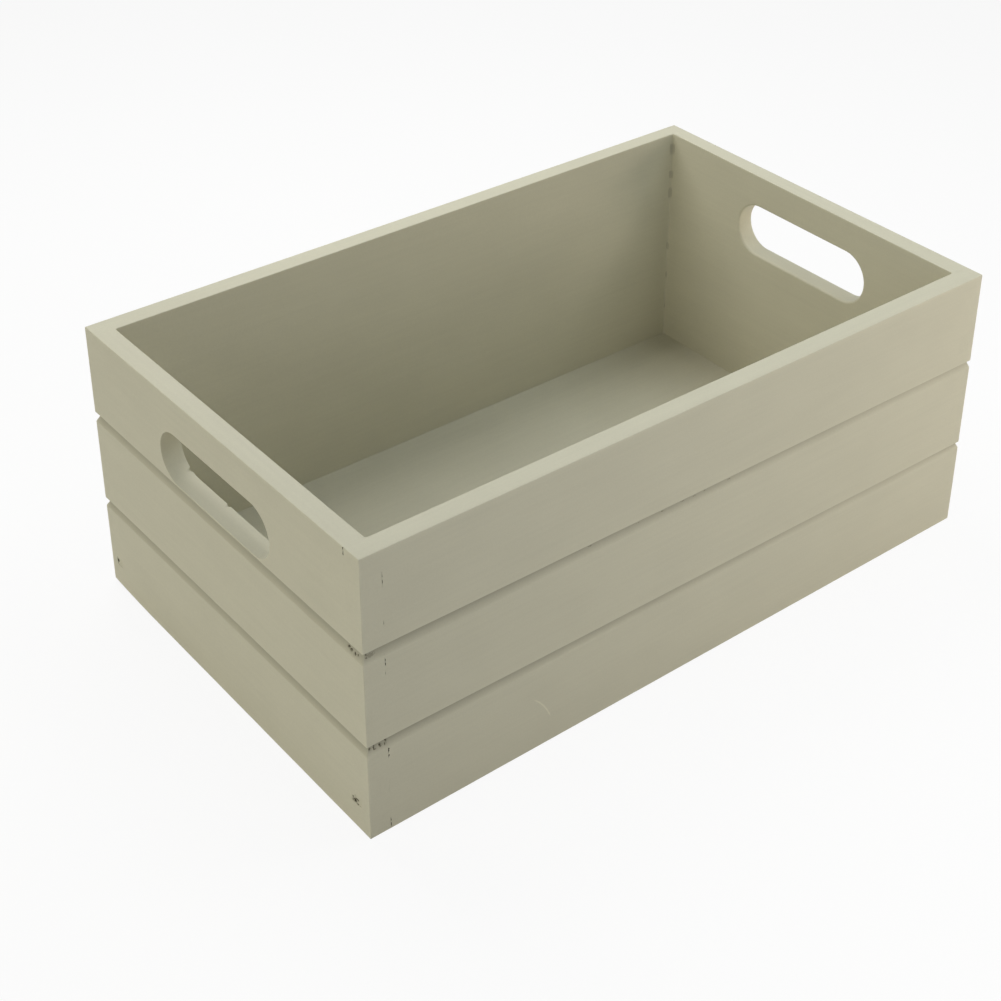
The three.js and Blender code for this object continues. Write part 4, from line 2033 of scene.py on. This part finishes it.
def near_corner_marks() -> tuple[Chip, ...]:
    """The torn-out places round the near left corner.

    Returns:
        The chips, their place along being the distance from the corner, positive on the front.
    """
    left_groove = [
        (-8.3, 68.9, 0.7, 0.35), (-6.9, 68.6, 0.7, 0.4), (-5.0, 68.4, 0.6, 0.5), (-3.7, 68.6, 0.4, 0.4),
    ]
    front_groove = [(2.0, 69.6, 0.35, 0.4), (1.8, 68.8, 0.6, 0.22)]
    stain = [(3.4, 69.1, 2.2, 0.8)]
    low_groove = [
        (1.6, 34.4, 0.5, 0.4), (3.3, 34.1, 0.5, 0.7), (5.3, 34.1, 0.6, 0.65),
        (7.4, 34.7, 0.35, 0.8), (6.8, 33.9, 0.3, 0.5),
    ]
    splotch = [
        (-7.8, 10.1, 0.9, 0.8), (-8.6, 10.9, 0.4, 0.6), (-9.0, 9.6, 0.6, 0.3),
        (-6.6, 11.2, 0.9, 0.4), (-6.3, 9.6, 0.8, 0.3),
    ]
    seed = 20
    return (
        *marks_of(left_groove, depth=0.3, bareness=0.62, ragged=0.9, first_seed=seed),
        *marks_of(front_groove, depth=0.25, bareness=0.52, ragged=0.9, first_seed=seed),
        *marks_of(stain, depth=0.1, bareness=0.37, ragged=0.5, first_seed=seed),
        *marks_of(low_groove, depth=0.35, bareness=0.6, ragged=0.9, first_seed=seed),
        *marks_of(splotch, depth=0.6, bareness=1.0, ragged=0.8, first_seed=seed),
    )


def far_corner_marks() -> tuple[Chip, ...]:
    """The brown spot by the far left corner. Its place along is its distance from that corner."""
    return marks_of([(4.3, 11.4, 1.1, 0.9)], depth=0.12, bareness=0.55, ragged=0.4, first_seed=31)


def front_specks() -> tuple[Chip, ...]:
    """The specks in the front board's upper groove."""
    middles = [
        (-46.6, 69.4), (-26.9, 69.2), (-16.7, 69.2), (-7.7, 69.2), (-2.9, 69.1), (2.0, 69.1), (12.6, 69.0),
    ]
    places = [(along, height, 1.0, 0.25) for along, height in middles]
    return marks_of(places, depth=0.1, bareness=0.42, ragged=0.9)


def corner_gaps(along: float) -> tuple[Chip, ...]:
    """The dark gaps in the far inner corner's joint, at its place along a board in millimetres."""
    gaps = [
        (98.2, 0.4, 4.2), (87.2, 0.4, 2.8), (79.1, 0.42, 3.8), (54.7, 0.65, 2.8), (41.1, 0.65, 2.6),
        (26.4, 0.65, 2.4),
    ]
    places = [(along, height, wide, tall) for height, wide, tall in gaps]
    return marks_of(places, depth=0.04, bareness=0.33, ragged=0.15)


def hole_nicks() -> tuple[Chip, ...]:
    """The two nicks in the inner edge of the left hand hole."""
    look = {"bareness": 0.3, "ragged": 0.3}
    return (
        *marks_of([(-28.0, 73.1, 0.8, 1.0)], depth=0.9, **look, first_seed=0),
        *marks_of([(-4.8, 72.1, 0.9, 1.0)], depth=0.6, **look, first_seed=1),
    )


def open_stretches(hand: int, stretches: list[tuple[float, ...]], first_seed: int) -> tuple[OpenJoint, ...]:
    """Open stretches of a joint line.

    Args:
        hand: -1 at the board's left end seen from outside, 1 at its right end.
        stretches: For each, in millimetres, its lower and upper end and its width.
        first_seed: Seed of the first one. Each further one has the next.

    Returns:
        The stretches.
    """
    return tuple(
        OpenJoint(hand, low * MM, high * MM, width * MM, seed)
        for seed, (low, high, width) in enumerate(stretches, first_seed)
    )


def boards(form: BoxForm) -> list[Board]:
    """The four walls, with the marks that tell them apart.

    Args:
        form: What all boards share.

    Returns:
        The boards.
    """
    half_length, half_width = form.sizes.half_length, form.sizes.half_width
    near, far = near_corner_marks(), far_corner_marks()
    front_joint = [
        (91.8, 97.6, 0.17), (78.4, 80.1, 0.14), (67.3, 68.2, 0.14), (63.5, 66.3, 0.24), (60.8, 61.6, 0.2),
        (30.8, 32.3, 0.48), (28.9, 29.9, 0.34), (12.4, 21.0, 0.06), (0.3, 4.7, 0.22),
    ]
    left_joint = [(103.9, 104.95, 0.42), (102.0, 103.5, 0.34)]
    left_hole = HandHole(offset=-0.9 * MM, outer_easing=0.2 * MM, inner_easing=0.15 * MM)
    right_hole = HandHole(
        length=66 * MM, height=20.5 * MM, middle=81.95 * MM,
        offset=0.2 * MM, outer_easing=0.3 * MM, inner_easing=0.9 * MM,
    )
    back_corner, right_corner = -124.5, 72.5
    return [
        Board(
            "front_board", "front_wall", form, Side.FRONT, Owner.ODD,
            chips=(*front_specks(), *(chip.moved(-half_length) for chip in near)),
            open_joints=open_stretches(-1, front_joint, first_seed=0),
        ),
        Board(
            "back_board", "back_wall", form, Side.BACK, Owner.ODD,
            chips=tuple(chip.moved(half_length) for chip in far),
            inner_chips=corner_gaps(back_corner),
        ),
        EndBoard(
            "left_board", "left_wall", form, Side.LEFT, Owner.EVEN,
            chips=(*(chip.moved(half_width) for chip in near), *(chip.moved(-half_width) for chip in far)),
            inner_chips=hole_nicks(), open_joints=open_stretches(1, left_joint, first_seed=7),
            hole=left_hole,
        ),
        EndBoard(
            "right_board", "right_wall", form, Side.RIGHT, Owner.EVEN,
            inner_chips=corner_gaps(right_corner), hole=right_hole,
        ),
    ]


def main() -> None:
    """Builds the camera, the box and the studio."""
    logging.basicConfig(level=logging.INFO, format="%(name)s: %(message)s")
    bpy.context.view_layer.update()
    PhotoCamera().build()
    form = BoxForm(BoxSizes.from_frame())
    for board in boards(form):
        turn = 0.0 if board.side in (Side.FRONT, Side.BACK) else math.pi / 2
        scuff = SCUFF_LIFT if board.side is Side.FRONT else 0.0
        finish = PaintFinish(f"sage_paint_{board.name}", SAGE, grain_turn=turn, scuff=scuff)
        dress(board.build(), finish)
    panel = BottomPanel("panel", "bottom_panel", form)
    dress(panel.build(), PaintFinish("sage_paint_panel", SAGE))
    for node in [name for name in sorted(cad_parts) if name.startswith("slot_filler")]:
        finish = PaintFinish(f"painted_{node}", SAGE, roughness=FILLER_ROUGHNESS)
        chips = ()
        if node.endswith("front_left"):
            chips = tuple(chip.moved(form.sizes.half_width) for chip in near_corner_marks())
        elif node.endswith("back_left"):
            chips = tuple(chip.moved(-form.sizes.half_width) for chip in far_corner_marks())
        dress(SlotFiller(node, chips=chips).build(), finish)
    Studio().build()


if __name__ == "__main__":
    main()
